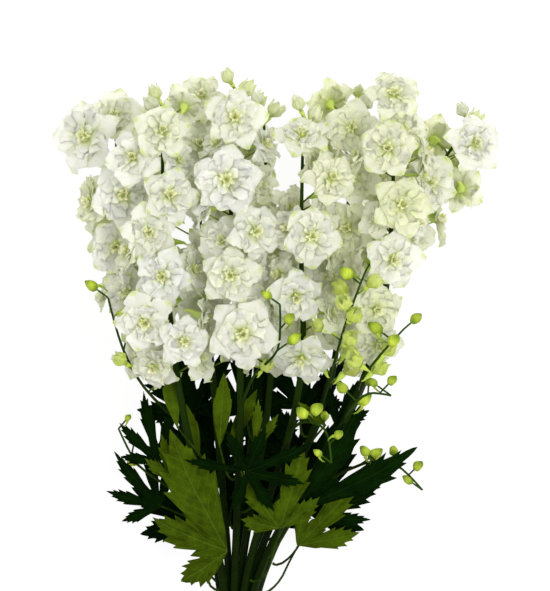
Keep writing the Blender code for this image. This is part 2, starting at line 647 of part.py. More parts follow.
def leaf_shape(joint, heading, lean, length, form, draw):
    """A lobed and toothed leaf blade that arches down to its tips, thin toward its edges."""
    ahead, beside, normal = leaf_ways(heading, lean)
    verts = []

    def add(turn, along, aside, lift):
        x = along * math.cos(turn) - aside * math.sin(turn)
        y = along * math.sin(turn) + aside * math.cos(turn)
        share = along / length
        height = length * (ARCH_RISE * share + ARCH_FALL * share * share) + lift
        spot = joint + ahead * x + beside * y + normal * height
        spot.z = max(spot.z, 0.0)
        verts.append(spot)
        return len(verts) - 1

    notches = [add(turn, length * reach, 0.0, -NOTCH_DROP * length) for turn, reach in leaf_notches(form)]
    top = add(0.0, 0.0, 0.0, LEAF_ROOT_HALF_THICKNESS)
    under = add(0.0, 0.0, 0.0, -LEAF_ROOT_HALF_THICKNESS)
    faces = [(top, under, notches[0]), (under, top, notches[-1])]
    for lobe, right_notch, left_notch in zip(LEAF_FORMS[form], notches, notches[1:]):
        turn = math.radians(lobe[0])
        reach = length * lobe[1] * draw.uniform(*LOBE_LENGTHS)
        width = length * lobe[2]
        wave = draw.uniform(-0.02, 0.02) * length
        ribs = [reach * share for share in RIB_REACHES]
        low, high = (add(turn, rib, 0.0, LEAF_HALF_THICKNESS) for rib in ribs)
        low_under, high_under = (add(turn, rib, 0.0, -LEAF_HALF_THICKNESS) for rib in ribs)
        right_tooth = add(turn, reach * TOOTH_REACH, -width, wave)
        right_dent = add(turn, reach * DENT_REACH, -DENT_WIDTH * width, 0.0)
        end = add(turn, reach, 0.0, 0.0)
        left_dent = add(turn, reach * DENT_REACH, DENT_WIDTH * width, 0.0)
        left_tooth = add(turn, reach * TOOTH_REACH, width, -wave)
        for middle, near, far, turned in ((top, low, high, 1), (under, low_under, high_under, -1)):
            side = [(middle, right_notch, near), (right_notch, right_tooth, near)]
            side += [(right_tooth, far, near), (right_tooth, right_dent, far)]
            side += [(right_dent, end, far), (end, left_dent, far), (left_dent, left_tooth, far)]
            side += [(left_tooth, near, far), (left_tooth, left_notch, near)]
            side.append((left_notch, middle, near))
            faces += [face[::turned] for face in side]
    return verts, faces


def leaf_solids(name, stems, solids):
    """A leaf blade and the leaf stalk that carries it, lifted until both are clear."""
    plant, foot_height, joint, heading, lean, length, form, _ = LEAVES[name]
    owner = "leaf_" + name
    heading = math.radians(heading)
    foot = at_height(stems[plant], foot_height * CM)
    way = (at_height(stems[plant], (foot_height + 1.0) * CM) - foot).normalized()
    share = foot_height * CM / stems[plant][-1].y
    seat = STEM_RADIUS + (SPIKE_FOOT_RADIUS - STEM_RADIUS) * share + SEAT_GAP
    ahead = leaf_ways(heading, lean)[0]
    for step in LEAF_LIFTS:
        tip = Vector(joint) * CM + Vector((0.0, 0.0, LEAF_LIFT * step))
        if tip.z < LOWEST_LEAF:
            continue
        draw = random.Random("leaf " + name)
        blade = Solid(owner, "blade", *leaf_shape(tip, heading, lean, length * CM, form, draw))
        if not blade.clear_of(solids):
            continue
        for swing in range(LEAF_STALK_SWINGS):
            out = tip - foot
            out = (out - way * out.dot(way)).normalized()
            out = Matrix.Rotation(math.tau * swing / LEAF_STALK_SWINGS, 3, way) @ out
            start = foot + out * seat
            end = tip + ahead * (LEAF_STALK_ON_BLADE * length * CM)
            path = smooth_path([start, start + out * LEAF_STALK_RISE, end], (1, 3))
            path = [pressed(p, LEAF_STALK_RADIUS) for p in path]
            radii = tapered(path, LEAF_STALK_RADIUS * 1.2, LEAF_STALK_RADIUS * 0.7)
            holder = Solid(owner, "leaf_stalk", *tube(path, radii, STALK_SIDES))
            if holder.clear_of(solids):
                solids += [blade, holder]
                return [blade, holder]
    return []


def tie_shape():
    """A flat band round the stems, which follows the outline of the bundle."""
    points = 20
    stems = [bundle_point(row, place, 0.0) for row, place, _ in PLANTS.values()]
    along = Vector((0.0, math.cos(BUNDLE_SLOPE), math.sin(BUNDLE_SLOPE)))
    up = Vector((0.0, -math.sin(BUNDLE_SLOPE), math.cos(BUNDLE_SLOPE)))
    verts = []
    for reach, side in ((0.0, -1), (TIE_THICKNESS, -1), (TIE_THICKNESS, 1), (0.0, 1)):
        for k in range(points):
            turn = math.tau * (k + 0.5) / points
            way = Vector((1.0, 0.0, 0.0)) * math.cos(turn) + up * math.sin(turn)
            stem = max(stems, key=way.dot)
            radius = STEM_RADIUS + SEAT_GAP + reach
            verts.append(stem + way * radius + along * (side * TIE_WIDTH / 2))
    faces = []
    for ring in range(4):
        after = (ring + 1) % 4
        for k in range(points):
            a, b = ring * points + k, ring * points + (k + 1) % points
            c, d = after * points + (k + 1) % points, after * points + k
            faces += [(a, b, c), (a, c, d)]
    return verts, faces


def finish(name):
    """A plain material of one of the named finishes."""
    colour, roughness = FINISHES[name]
    made = bpy.data.materials.new(name)
    made.use_nodes = True
    shader = made.node_tree.nodes["Principled BSDF"]
    shader.inputs["Base Color"].default_value = colour
    shader.inputs["Roughness"].default_value = roughness
    shader.inputs["Metallic"].default_value = 0.0
    return made


def mesh_object(name, verts, faces, collection):
    """A mesh object of the given points and faces, with all its faces turned outward."""
    mesh = bpy.data.meshes.new(name)
    mesh.from_pydata([tuple(v) for v in verts], [], faces)
    shape = bmesh.new()
    shape.from_mesh(mesh)
    bmesh.ops.recalc_face_normals(shape, faces=shape.faces[:])
    shape.to_mesh(mesh)
    shape.free()
    made = bpy.data.objects.new(name, mesh)
    collection.objects.link(made)
    return made


def largest_body(mesh):
    """Keep the largest body of a fused mesh: scraps go, and so do sealed hollows, which fills them."""
    shape = bmesh.new()
    shape.from_mesh(mesh)
    bmesh.ops.triangulate(shape, faces=shape.faces[:])
    left = set(shape.verts)
    bodies = []
    while left:
        body = {left.pop()}
        edge = list(body)
        while edge:
            for link in edge.pop().link_edges:
                for vert in link.verts:
                    if vert in left:
                        left.remove(vert)
                        body.add(vert)
                        edge.append(vert)
        bodies.append(body)
    bodies.sort(key=len)
    scraps = [vert for body in bodies[:-1] for vert in body]
    bmesh.ops.delete(shape, geom=scraps, context="VERTS")
    shape.to_mesh(mesh)
    shape.free()


def fuse(name, solids, material):
    """One object from many crossing solids, joined by a single Boolean union."""
    scene = bpy.context.scene.collection
    base = mesh_object(name, solids[0].verts, solids[0].faces, scene)
    if len(solids) > 1:
        group = bpy.data.collections.new(name + "_repeats")
        scene.children.link(group)
        for k, solid in enumerate(solids[1:]):
            mesh_object("%s_repeat_%d" % (name, k), solid.verts, solid.faces, group)
        union = base.modifiers.new("union", "BOOLEAN")
        union.operation = "UNION"
        union.operand_type = "COLLECTION"
        union.collection = group
        union.solver = "EXACT"
        graph = bpy.context.evaluated_depsgraph_get()
        joined = bpy.data.meshes.new_from_object(base.evaluated_get(graph))
        base.modifiers.clear()
        base.data = joined
        for repeat in list(group.objects):
            bpy.data.objects.remove(repeat)
        bpy.data.collections.remove(group)
    largest_body(base.data)
    base.data.materials.clear()
    base.data.materials.append(material)
    return base


def centre_over_box(objects):
    """Move the whole bunch so that the middle of its box's underside is the origin."""
    spots = [v.co for made in objects for v in made.data.vertices]
    low = Vector([min(p[i] for p in spots) for i in range(3)])
    high = Vector([max(p[i] for p in spots) for i in range(3)])
    home = Vector(((low.x + high.x) / 2, (low.y + high.y) / 2, low.z))
    for made in objects:
        made.data.transform(Matrix.Translation(-home))


def build_bunch():
    for old in list(bpy.data.objects):
        bpy.data.objects.remove(old)
    materials = {name: finish(name) for name in FINISHES}
    paths = {name: plant_paths(name) for name in PLANTS}
    stems = {name: pair[0] for name, pair in paths.items()}
    axes = {name: pair[1] for name, pair in paths.items()}
    solids = []
    stem_parts = {}
    spike_parts = {}
    for name in PLANTS:
        stem, axis = paths[name]
        stem_tube = tube(stem, tapered(stem, STEM_RADIUS, SPIKE_FOOT_RADIUS), STEM_SIDES)
        axis_tube = tube(axis, tapered(axis, SPIKE_FOOT_RADIUS, SPIKE_TIP_RADIUS), SPIKE_SIDES)
        stem_parts[name] = [Solid("stem_" + name, "axis", *stem_tube)]
        spike_parts[name] = [Solid(name, "axis", *axis_tube)]
        solids += stem_parts[name] + spike_parts[name]
    for name in PLANTS:
        spike_parts[name] += set_florets(name, axes[name], solids)
    leaf_parts = {name: leaf_solids(name, stems, solids) for name in LEAVES}
    for shoot in SIDE_SHOOTS:
        stem_parts[shoot[0]] += side_shoot(shoot, stems[shoot[0]], solids)
    for name in PLANTS:
        spike_parts[name] += tip_buds(name, axes[name], solids)
        spike_parts[name] += spiral_florets(name, axes[name], solids)

    objects = []
    for name in PLANTS:
        objects.append(fuse("stem_" + name, stem_parts[name], materials["stem"]))
        objects.append(fuse("spike_" + name, spike_parts[name], materials["petal"]))
    for name, parts in leaf_parts.items():
        if parts:
            objects.append(fuse("leaf_" + name, parts, materials[LEAVES[name][-1]]))
    tie = mesh_object("tie", *tie_shape(), bpy.context.scene.collection)
    tie.data.materials.append(materials["tie"])
    objects.append(tie)
    centre_over_box(objects)


build_bunch()
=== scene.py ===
"""The looks of a cut bunch of white delphiniums: fine florets, buds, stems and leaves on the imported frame.

Metres, +Z up, in the frame's own place. The plan of the bunch, in centimetres from the cut ends, is the same
as in the part's source, so every fine floret, bud, shoot and leaf stands where its solid does.
"""

import math
import random

import bpy
import numpy as np
from mathutils import Matrix, Vector
from mathutils.bvhtree import BVHTree


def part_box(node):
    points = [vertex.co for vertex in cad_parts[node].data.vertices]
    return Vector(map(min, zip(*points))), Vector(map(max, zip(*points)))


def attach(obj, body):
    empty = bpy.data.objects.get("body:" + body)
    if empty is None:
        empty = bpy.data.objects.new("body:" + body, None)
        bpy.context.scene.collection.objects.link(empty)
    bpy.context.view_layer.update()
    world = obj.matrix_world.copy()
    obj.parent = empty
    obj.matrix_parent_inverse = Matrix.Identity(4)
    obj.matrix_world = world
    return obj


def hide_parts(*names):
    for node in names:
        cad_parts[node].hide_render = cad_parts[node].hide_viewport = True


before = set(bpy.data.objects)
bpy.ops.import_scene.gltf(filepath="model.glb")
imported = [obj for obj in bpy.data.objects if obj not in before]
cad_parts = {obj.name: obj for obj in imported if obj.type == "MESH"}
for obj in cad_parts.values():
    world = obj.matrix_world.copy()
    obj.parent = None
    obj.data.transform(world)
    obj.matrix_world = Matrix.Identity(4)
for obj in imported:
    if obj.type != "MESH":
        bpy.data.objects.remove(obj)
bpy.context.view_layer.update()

CM = 0.01
GOLDEN_TURN = math.radians(137.5)
NEARLY_ALONG_X = 0.9
FRONT, MIDDLE, REAR = 2, 1, 0
OUTERMOST_PLACE = 2.0

# The stems and the tie
STEM_RADIUS = 0.0040
SPIKE_FOOT_RADIUS = 0.0030
SPIKE_TIP_RADIUS = 0.0011
STEM_SIDES = 6
SPIKE_SIDES = 4
STEM_STEPS = (1, 1, 5)
SPIKE_STEPS = (4, 3)
STEM_SPACING = 0.0084
CUT_END_SPREAD = 1.5
TIE_HEIGHT = 0.115
TIE_WIDTH = 0.009
TIE_THICKNESS = 0.0016
TIE_POINTS = 20
BUNDLE_X = -0.041
BUNDLE_SLOPE = math.radians(7.0)
BUNDLE_ALONG = Vector((0.0, math.cos(BUNDLE_SLOPE), math.sin(BUNDLE_SLOPE)))
BUNDLE_UP = Vector((0.0, -math.sin(BUNDLE_SLOPE), math.cos(BUNDLE_SLOPE)))
GAP = 0.0005
SEAT_GAP = 0.0004
CUT_END_CLEARANCE = 0.0001

# The florets and their stalks
FLORET_RADIUS = 0.0262
SMALLEST_FLORET = 0.62
FLORETS_PER_SPIKE = {FRONT: 14, MIDDLE: 14, REAR: 10}
STALK_RADIUS = 0.0009
STALK_SIDES = 3
STALK_ROOT_BELOW = 0.55
STRAIGHT_STALK = 0.7
PRESSED_THICKNESS = 0.0016
LOWEST_FLORET = 0.004
SWELL_FOR_CLEARANCE = 1.04

# The form of a floret in floret radii: how far out, and how high over its middle
PETALS = 5
EYE_HEIGHT = 0.14
INNER_REACH = (0.40, 0.46)
INNER_HEIGHT = 0.30
SEPAL_REACH = (0.96, 1.08)
SEPAL_HEIGHT = (-0.08, 0.12)
SEPAL_NOTCH = (0.74, 0.08)
BACK_NOTCH = (0.22, -0.16)
SPUR_TIP = (0.24, -0.78)
STALK_BEHIND_FLORET = ((0.0, -0.22, -0.44), (0.0, -0.08, -0.08))

# Florets with a chosen place: how far over the axis they are tried first, and the steps from there
SET_REACH = 0.036
SET_REACH_LOST_BY_LEAN = 0.012
SET_REACH_OF_A_BACK = 0.004
SET_STEP = 0.003
SET_TRIES = 12
DOWN_STEP = 0.001
DOWN_TRIES = 8

# Florets placed by the spiral: the slots up the spike and the order that they are filled in, the stretch
# of the spike that they cover, and the draws of size, reach, nod and shift
SPIRAL_SLOTS = 30
SLOT_STEP = 11
SPIRAL_TRIES = 24
SPIRAL_FOOT = 0.03
SPIRAL_SPAN = 0.85
SPIRAL_SIZE = 1.06
SPIRAL_SIZE_LOST = 0.22
SPIRAL_REACH = (0.024, 0.040)
SPIRAL_REACH_LOST = 0.008
SPIRAL_NOD = (-0.2, 0.5)
SPIRAL_SHIFT = 0.010
SPIRAL_RISE = 0.008
MOST_TURNED_IN = {FRONT: -0.35, MIDDLE: -0.1, REAR: 0.35}

# The buds at the tips and on the side shoots: sizes in bud radii, and how far ahead they point
BUD_RADIUS = 0.0045
BUD_SIDES = 4
BUD_SWELL = 1.1
BUD_LENGTH = 3.0
BUD_ROOT_TAPER = 0.8
BUD_TIP_TAPER = 0.5
BUDS_PER_TIP = {FRONT: 2, MIDDLE: 2, REAR: 1}
TIP_BUD_TRIES = 6
TIP_BUD_STEP = 0.04
TIP_BUD_TOP = 0.012
TIP_BUD_STALK = 0.007
TIP_BUD_SWING = 0.3
TIP_BUD_AHEAD = 1.2
TIP_BUD_AHEAD_GAINED = 0.4
TIP_BUD_SIZE = 1.45
TIP_BUD_SIZE_LOST = 0.25
SHOOT_ROOT_RADIUS = 0.0016
SHOOT_TIP_RADIUS = 0.0009
SHOOT_STEPS = (2, 2, 2)
SHOOT_LIFTS = (0.0, 0.006, -0.006, 0.012, -0.012, 0.018, 0.024, 0.030)
SHOOT_BARE = 0.30
SHOOT_BUD_TRIES = 8
SHOOT_BUD_TURN = 0.8
SHOOT_BUD_AHEAD = 0.7
SHOOT_BUD_STALK = (0.009, 0.016)
SHOOT_BUD_SIZE = 1.15
SHOOT_BUD_SIZE_LOST = 0.45
SHOOT_BUD_SPREAD = (0.9, 1.1)

# The open notch between the two halves of the bunch, where a bare spike shows
NOTCH_X = 0.003
NOTCH_HALF_WIDTH = 0.019
NOTCH_FLOOR = 0.500

# The right half of the bunch draws in under its shoulder
RIGHT_EDGE_X = 0.088
RIGHT_SHOULDER = 0.475

# The leaves
LEAF_HALF_THICKNESS = 0.0007
LEAF_ROOT_HALF_THICKNESS = 0.0012
LEAF_STALK_RADIUS = 0.0013
LEAF_STALK_FOOT = 1.2
LEAF_STALK_TOP = 0.7
LEAF_STALK_STEPS = (1, 3)
LEAF_STALK_RISE = 0.004
LEAF_STALK_SWINGS = 12
LEAF_STALK_ON_BLADE = 0.04
LEAF_LIFT = 0.0025
LEAF_LIFTS = sorted(range(-8, 17), key=abs)
LOWEST_LEAF = 0.006

# The form of a leaf in leaf lengths: its arch, and a lobe's midrib, teeth, dents and notches
ARCH_RISE = 0.10
ARCH_FALL = -0.26
LOBE_LENGTHS = (0.95, 1.04)
LOBE_WAVE = 0.02
RIB_REACHES = (0.46, 0.72)
TOOTH_REACH = 0.68
DENT_REACH = 0.75
DENT_WIDTH = 0.50
NOTCH_DROP = 0.02
OUTER_NOTCH = 0.20
OUTER_NOTCH_TURN = 0.10

# The forms of a leaf. Each lobe, from the rightmost on: its turn from the leaf's own way in degrees, its
# length and half width in leaf lengths, and how far out the notch on its left is.
LEAF_FORMS = {
    "lance": ((0, 1.00, 0.125, 0.20),),
    "fork": ((-16, 0.84, 0.090, 0.46), (15, 1.00, 0.100, 0.22)),
    "trident": ((-34, 0.72, 0.110, 0.36), (0, 1.00, 0.120, 0.34), (36, 0.76, 0.110, 0.20)),
    "wing": ((-4, 1.00, 0.190, 0.46), (37, 0.64, 0.125, 0.28), (97, 0.46, 0.110, 0.16)),
    "hand": (
        (-30, 0.60, 0.110, 0.34), (6, 1.00, 0.150, 0.34), (54, 0.82, 0.120, 0.26), (94, 0.46, 0.100, 0.14),
    ),
    "scythe": (
        (-12, 1.00, 0.100, 0.40), (22, 0.96, 0.110, 0.26), (62, 0.52, 0.080, 0.16),
    ),
    "palm": (
        (-76, 0.58, 0.110, 0.24), (-38, 0.84, 0.125, 0.30), (0, 1.00, 0.130, 0.30),
        (38, 0.82, 0.125, 0.24), (76, 0.60, 0.110, 0.16),
    ),
    "cut_palm": (
        (-58, 0.62, 0.080, 0.18), (-28, 0.82, 0.085, 0.24), (2, 1.00, 0.085, 0.24),
        (34, 0.78, 0.080, 0.18), (68, 0.56, 0.075, 0.14),
    ),
    "star": (
        (-128, 0.60, 0.085, 0.16), (-78, 0.76, 0.090, 0.20), (-36, 0.84, 0.090, 0.24),
        (0, 1.00, 0.090, 0.20), (48, 0.70, 0.090, 0.18), (96, 0.66, 0.080, 0.16), (150, 0.84, 0.070, 0.14),
    ),
}

# Each plant: its row in the tied bundle and its place there, then the foot, middle and tip of its spike
PLANTS = {
    "far_left": (MIDDLE, -2.0, ((-9.8, 32.0, 8.4), (-14.2, 45.4, 10.2), (-15.4, 57.4, 10.6))),
    "left": (FRONT, -1.5, ((-9.4, 33.0, 13.4), (-10.6, 46.3, 15.2), (-10.8, 58.4, 15.4))),
    "centre_left": (MIDDLE, -1.0, ((-6.4, 33.4, 8.8), (-7.5, 46.3, 10.4), (-7.3, 58.8, 10.6))),
    "centre": (FRONT, -0.5, ((-3.8, 34.0, 13.6), (-4.6, 47.2, 15.4), (-4.2, 59.9, 15.2))),
    "notch": (MIDDLE, 0.0, ((-1.0, 34.3, 9.0), (-1.3, 47.2, 10.6), (-1.7, 58.2, 10.8))),
    "right_inner": (FRONT, 0.5, ((1.7, 33.9, 13.4), (1.7, 46.3, 15.4), (1.9, 57.4, 15.4))),
    "right": (MIDDLE, 1.0, ((4.6, 33.9, 8.8), (5.8, 46.3, 10.4), (6.8, 59.0, 10.6))),
    "right_outer": (FRONT, 1.5, ((8.0, 35.2, 13.0), (9.8, 47.2, 15.0), (10.0, 59.0, 15.0))),
    "far_right": (MIDDLE, 2.0, ((8.6, 35.6, 8.4), (10.8, 47.2, 10.0), (17.4, 57.2, 10.8))),
    "rear_left": (REAR, -1.5, ((-10.6, 34.3, 4.9), (-12.2, 46.0, 5.4), (-12.6, 57.0, 5.2))),
    "rear_centre": (REAR, -0.5, ((-2.4, 34.0, 5.0), (-3.0, 46.5, 5.5), (-3.2, 58.6, 5.2))),
    "rear_right": (REAR, 0.5, ((5.4, 34.3, 4.9), (8.0, 46.0, 5.4), (10.0, 57.6, 5.2))),
}

# Open florets that set the outline and the front: x and y of the middle, size, and the lean of the face to
# the right and up, where 0, 0 faces straight away from the surface. A face turned down has a minus size.
SET_FLORETS = {
    "far_left": (
        (-17.7, 55.5, 1.15, -0.5, 0.1), (-17.2, 49.6, 0.90, -1.5, 0.2), (-15.2, 57.4, 0.95, -0.2, 0.4),
        (-14.2, 50.2, 1.10, -0.1, 0.0), (-14.9, 45.6, 0.98, -0.3, -0.1), (-14.0, 41.4, 0.84, -0.4, 0.0),
    ),
    "left": (
        (-10.6, 55.7, 0.85, 0.1, 0.3), (-8.8, 58.2, -0.66, 0.5, 0.8), (-13.2, 53.4, 0.88, -0.3, 0.2),
        (-10.0, 50.0, 0.85, 0.2, 0.2), (-11.8, 46.8, 0.88, 0.0, -0.1), (-10.6, 42.9, 0.92, -0.2, -0.2),
        (-12.2, 38.8, 0.96, 0.0, -0.2), (-11.4, 34.8, 0.78, -0.5, -0.5),
    ),
    "centre_left": (
        (-7.3, 59.2, 0.75, 0.0, 0.5), (-7.4, 54.8, 0.94, 0.0, 0.3), (-8.4, 50.6, 0.84, -0.3, 0.0),
        (-6.5, 45.1, 0.94, 0.1, 0.0), (-7.2, 41.0, 0.86, 0.2, -0.6), (-8.0, 37.0, 0.80, -0.1, -1.3),
    ),
    "centre": (
        (-4.2, 56.9, 0.98, 0.1, 0.2), (-4.9, 51.4, 1.08, 0.0, 0.0), (-2.5, 46.8, 0.86, 0.4, 0.1),
        (-4.6, 43.0, 0.92, 0.0, -0.1), (-3.5, 37.8, 1.14, 0.0, -0.1),
    ),
    "notch": (
        (-3.0, 54.2, 0.74, -1.2, 0.4), (0.8, 49.0, 0.80, 0.7, 0.3), (-0.4, 44.6, 0.90, 0.2, 0.1),
        (-1.0, 40.2, 0.86, 0.0, 0.0), (-0.6, 36.0, 0.84, 0.0, -0.5),
    ),
    "right_inner": (
        (1.8, 55.4, 0.82, 0.0, 1.0), (4.3, 51.6, 0.84, 0.5, 0.2), (2.6, 46.4, 0.92, 0.1, 0.0),
        (1.2, 41.2, 0.86, 0.2, -0.5), (1.8, 35.7, 0.98, -0.2, -0.9),
    ),
    "right": (
        (6.3, 56.3, 0.88, 0.0, 0.2), (4.4, 58.8, -0.76, -0.6, 0.7), (6.6, 51.8, 0.88, 0.0, 0.1),
        (5.9, 47.2, 0.94, -0.2, 0.1), (4.6, 43.0, 0.88, -0.1, 0.0), (5.2, 38.2, 0.84, 0.0, -0.2),
    ),
    "right_outer": (
        (9.9, 59.0, 0.86, 0.1, 0.6), (9.4, 54.2, 0.90, -0.1, 0.1), (10.6, 49.2, 0.96, 0.2, 0.1),
        (9.8, 44.4, 0.94, 0.2, -0.1), (8.4, 40.0, 0.84, 0.2, -0.3), (8.6, 36.8, 0.76, 0.3, -0.6),
    ),
    "far_right": (
        (13.9, 55.4, -0.86, -0.5, 0.3), (17.4, 54.9, 1.00, 0.4, 0.1), (16.4, 50.9, -0.70, 0.5, -0.3),
        (13.3, 51.4, 0.96, 0.2, 0.1), (11.8, 46.6, 0.86, 0.6, -0.1),
    ),
    "rear_left": ((-12.3, 52.0, -0.95, -0.2, 0.0),),
    "rear_centre": ((-3.0, 38.5, -0.95, 0.0, 0.0),),
    "rear_right": ((9.0, 52.0, -0.95, 0.2, 0.0),),
}

# Side shoots with buds: the plant, where it leaves the stem, the way it takes, and the number of its buds
# and their size
SIDE_SHOOTS = (
    ("right", 30.0, ((4.3, 33.6, 14.6), (5.6, 38.6, 18.0), (7.3, 43.2, 18.8)), 11, 1.70),
    ("far_left", 29.0, ((-12.6, 32.8, 11.0), (-14.5, 36.4, 12.0), (-15.8, 41.0, 12.4)), 5, 1.40),
    ("right_outer", 29.5, ((6.2, 31.0, 14.2), (7.8, 32.4, 15.6), (9.8, 32.2, 15.4)), 5, 1.10),
    ("right_outer", 32.5, ((7.2, 33.8, 16.6), (8.6, 35.8, 18.2), (10.8, 38.2, 17.8)), 6, 1.45),
    ("far_right", 22.0, ((7.6, 25.6, 8.0), (10.4, 25.6, 8.8), (13.0, 23.2, 9.0)), 5, 1.15),
    ("far_left", 20.0, ((-10.4, 23.2, 6.6), (-13.4, 25.4, 7.0), (-15.2, 28.8, 7.4)), 4, 0.95),
    ("right_inner", 28.5, ((2.0, 29.8, 14.4), (3.8, 29.2, 15.8), (4.4, 26.2, 15.8)), 5, 1.10),
    ("centre", 31.0, ((-2.4, 34.2, 15.0), (-0.4, 36.4, 18.0), (-0.2, 40.4, 18.8)), 5, 1.30),
)

# Leaves: the plant, the height of the leaf stalk's foot on it, the leaf's joint, the way it points in
# degrees from +X, how far its face turns to the right and up, its length, its form and olive or dark
LEAVES = {
    "front_left": ("left", 13.4, (-5.0, 17.6, 8.4), 118, (-0.1, -0.35), 12.4, "wing", "olive"),
    "olive_centre": ("right_inner", 14.5, (-0.2, 19.8, 10.6), 71, (0.1, -0.4), 8.2, "hand", "olive"),
    "dark_star": ("centre", 21.0, (-3.2, 25.3, 13.0), 20, (0.1, -0.3), 6.8, "star", "dark"),
    "dark_right": ("right_outer", 17.0, (1.4, 21.6, 9.6), 36, (0.1, -0.3), 12.0, "scythe", "dark"),
    "olive_right": ("right_outer", 13.4, (1.4, 17.8, 7.2), 44, (0.1, -0.1), 8.6, "trident", "olive"),
    "lance_left": ("left", 25.0, (-9.5, 29.0, 13.2), 99, (-0.2, -0.1), 6.0, "lance", "olive"),
    "lance_narrow": ("left", 21.5, (-7.6, 26.3, 11.8), 104, (0.0, -0.1), 5.0, "lance", "olive"),
    "lance_centre": ("centre", 24.5, (-5.7, 27.4, 13.6), 86, (0.1, -0.1), 6.6, "lance", "olive"),
    "lance_slant": ("centre_left", 24.5, (-4.9, 27.6, 11.0), 62, (0.0, -0.1), 5.4, "lance", "olive"),
    "forked_small": ("centre", 24.0, (-2.4, 27.4, 13.8), 72, (0.0, -0.2), 4.4, "fork", "olive"),
    "olive_left": ("far_left", 20.5, (-9.9, 24.0, 9.6), 107, (-0.1, 0.0), 4.8, "trident", "olive"),
    "olive_high_right": ("right_inner", 26.5, (4.0, 29.4, 14.4), 140, (0.0, -0.1), 3.4, "lance", "olive"),
    "dark_left_high": ("far_left", 23.0, (-11.4, 25.8, 9.0), 106, (-0.3, 0.1), 7.0, "cut_palm", "dark"),
    "dark_left_low": ("rear_left", 17.0, (-11.4, 21.4, 6.0), 134, (-0.3, 0.0), 7.2, "cut_palm", "dark"),
    "dark_right_low": ("far_right", 16.0, (3.0, 20.4, 5.6), 10, (0.2, -0.1), 7.0, "fork", "dark"),
    "right_high": ("far_right", 26.0, (5.0, 29.0, 9.0), 60, (0.3, 0.2), 5.4, "trident", "dark"),
    "inner_left": ("far_left", 27.5, (-8.4, 30.0, 7.0), 98, (0.0, 0.0), 8.4, "palm", "dark"),
    "inner_centre": ("notch", 27.5, (-3.4, 30.2, 8.0), 94, (0.0, 0.0), 7.6, "palm", "dark"),
    "inner_right": ("right", 28.0, (1.8, 30.6, 8.0), 84, (0.0, 0.0), 7.2, "palm", "dark"),
    "deep_left": ("rear_left", 20.0, (-6.8, 24.4, 5.0), 96, (0.0, 0.0), 8.4, "palm", "dark"),
    "deep_centre": ("rear_centre", 13.0, (-2.0, 19.4, 4.0), 88, (0.0, 0.0), 8.8, "palm", "dark"),
    "deep_right": ("rear_right", 20.0, (1.8, 25.2, 5.0), 78, (0.0, 0.0), 8.2, "palm", "dark"),
    "rear_left_wide": ("rear_left", 14.0, (-8.0, 19.4, 2.6), 114, (-0.1, 0.1), 9.4, "palm", "dark"),
    "rear_centre_wide": ("rear_centre", 19.0, (-2.6, 24.6, 2.6), 92, (0.0, 0.1), 8.6, "palm", "dark"),
    "rear_right_wide": ("rear_right", 15.0, (2.6, 20.4, 2.6), 60, (0.1, 0.1), 9.4, "palm", "dark"),
}


class Solid:
    """One small solid of a plant: its rough shape, which keeps it clear of the others, and its plan."""

    def __init__(self, owner, kind, verts, faces, plan=None):
        self.owner = owner
        self.kind = kind
        self.plan = plan
        self.centre = sum(verts, Vector()) / len(verts)
        self.reach = max((v - self.centre).length for v in verts) * SWELL_FOR_CLEARANCE
        swollen = [self.centre + (v - self.centre) * SWELL_FOR_CLEARANCE for v in verts]
        self.trees = [BVHTree.FromPolygons(points, faces) for points in (verts, swollen)]

    def clear_of(self, others):
        """True where this solid crosses none of the others that it has to stay clear of."""
        for other in others:
            if (self.centre - other.centre).length > self.reach + other.reach:
                continue
            if self.owner == other.owner and "floret" not in (self.kind, other.kind):
                continue
            if any(mine.overlap(its) for mine, its in zip(self.trees, other.trees)):
                return False
        return True


def put_first_clear(tries, solids):
    """Add the first try whose solids are all clear, and give it back, or None where no try is clear."""
    for fresh in tries:
        if all(solid.clear_of(solids) for solid in fresh):
            solids += fresh
            return fresh
    return None


def smooth_path(points, steps):
    """Points of a smooth curve through the given ones, with so many steps in each stretch."""
    chords = [b - a for a, b in zip(points, points[1:])]
    ways = [chords[0].normalized()]
    ways += [(a.normalized() + b.normalized()).normalized() for a, b in zip(chords, chords[1:])]
    ways.append(chords[-1].normalized())
    path = []
    for i, chord in enumerate(chords):
        start, end = points[i], points[i + 1]
        out, into = ways[i] * chord.length, ways[i + 1] * chord.length
        for k in range(steps[i]):
            t = k / steps[i]
            path.append(
                start * (2 * t**3 - 3 * t**2 + 1)
                + out * (t**3 - 2 * t**2 + t)
                + end * (3 * t**2 - 2 * t**3)
                + into * (t**3 - t**2)
            )
    path.append(points[-1].copy())
    return path


def at_height(path, height):
    """The point of a rising path at one height along Y."""
    for a, b in zip(path, path[1:]):
        if b.y >= height:
            return a.lerp(b, max(0.0, (height - a.y) / (b.y - a.y)))
    return path[-1].copy()


def tapered(path, first, last):
    """A radius for each point of a path, from the first to the last."""
    steps = len(path) - 1
    return [first + (last - first) * k / steps for k in range(len(path))]


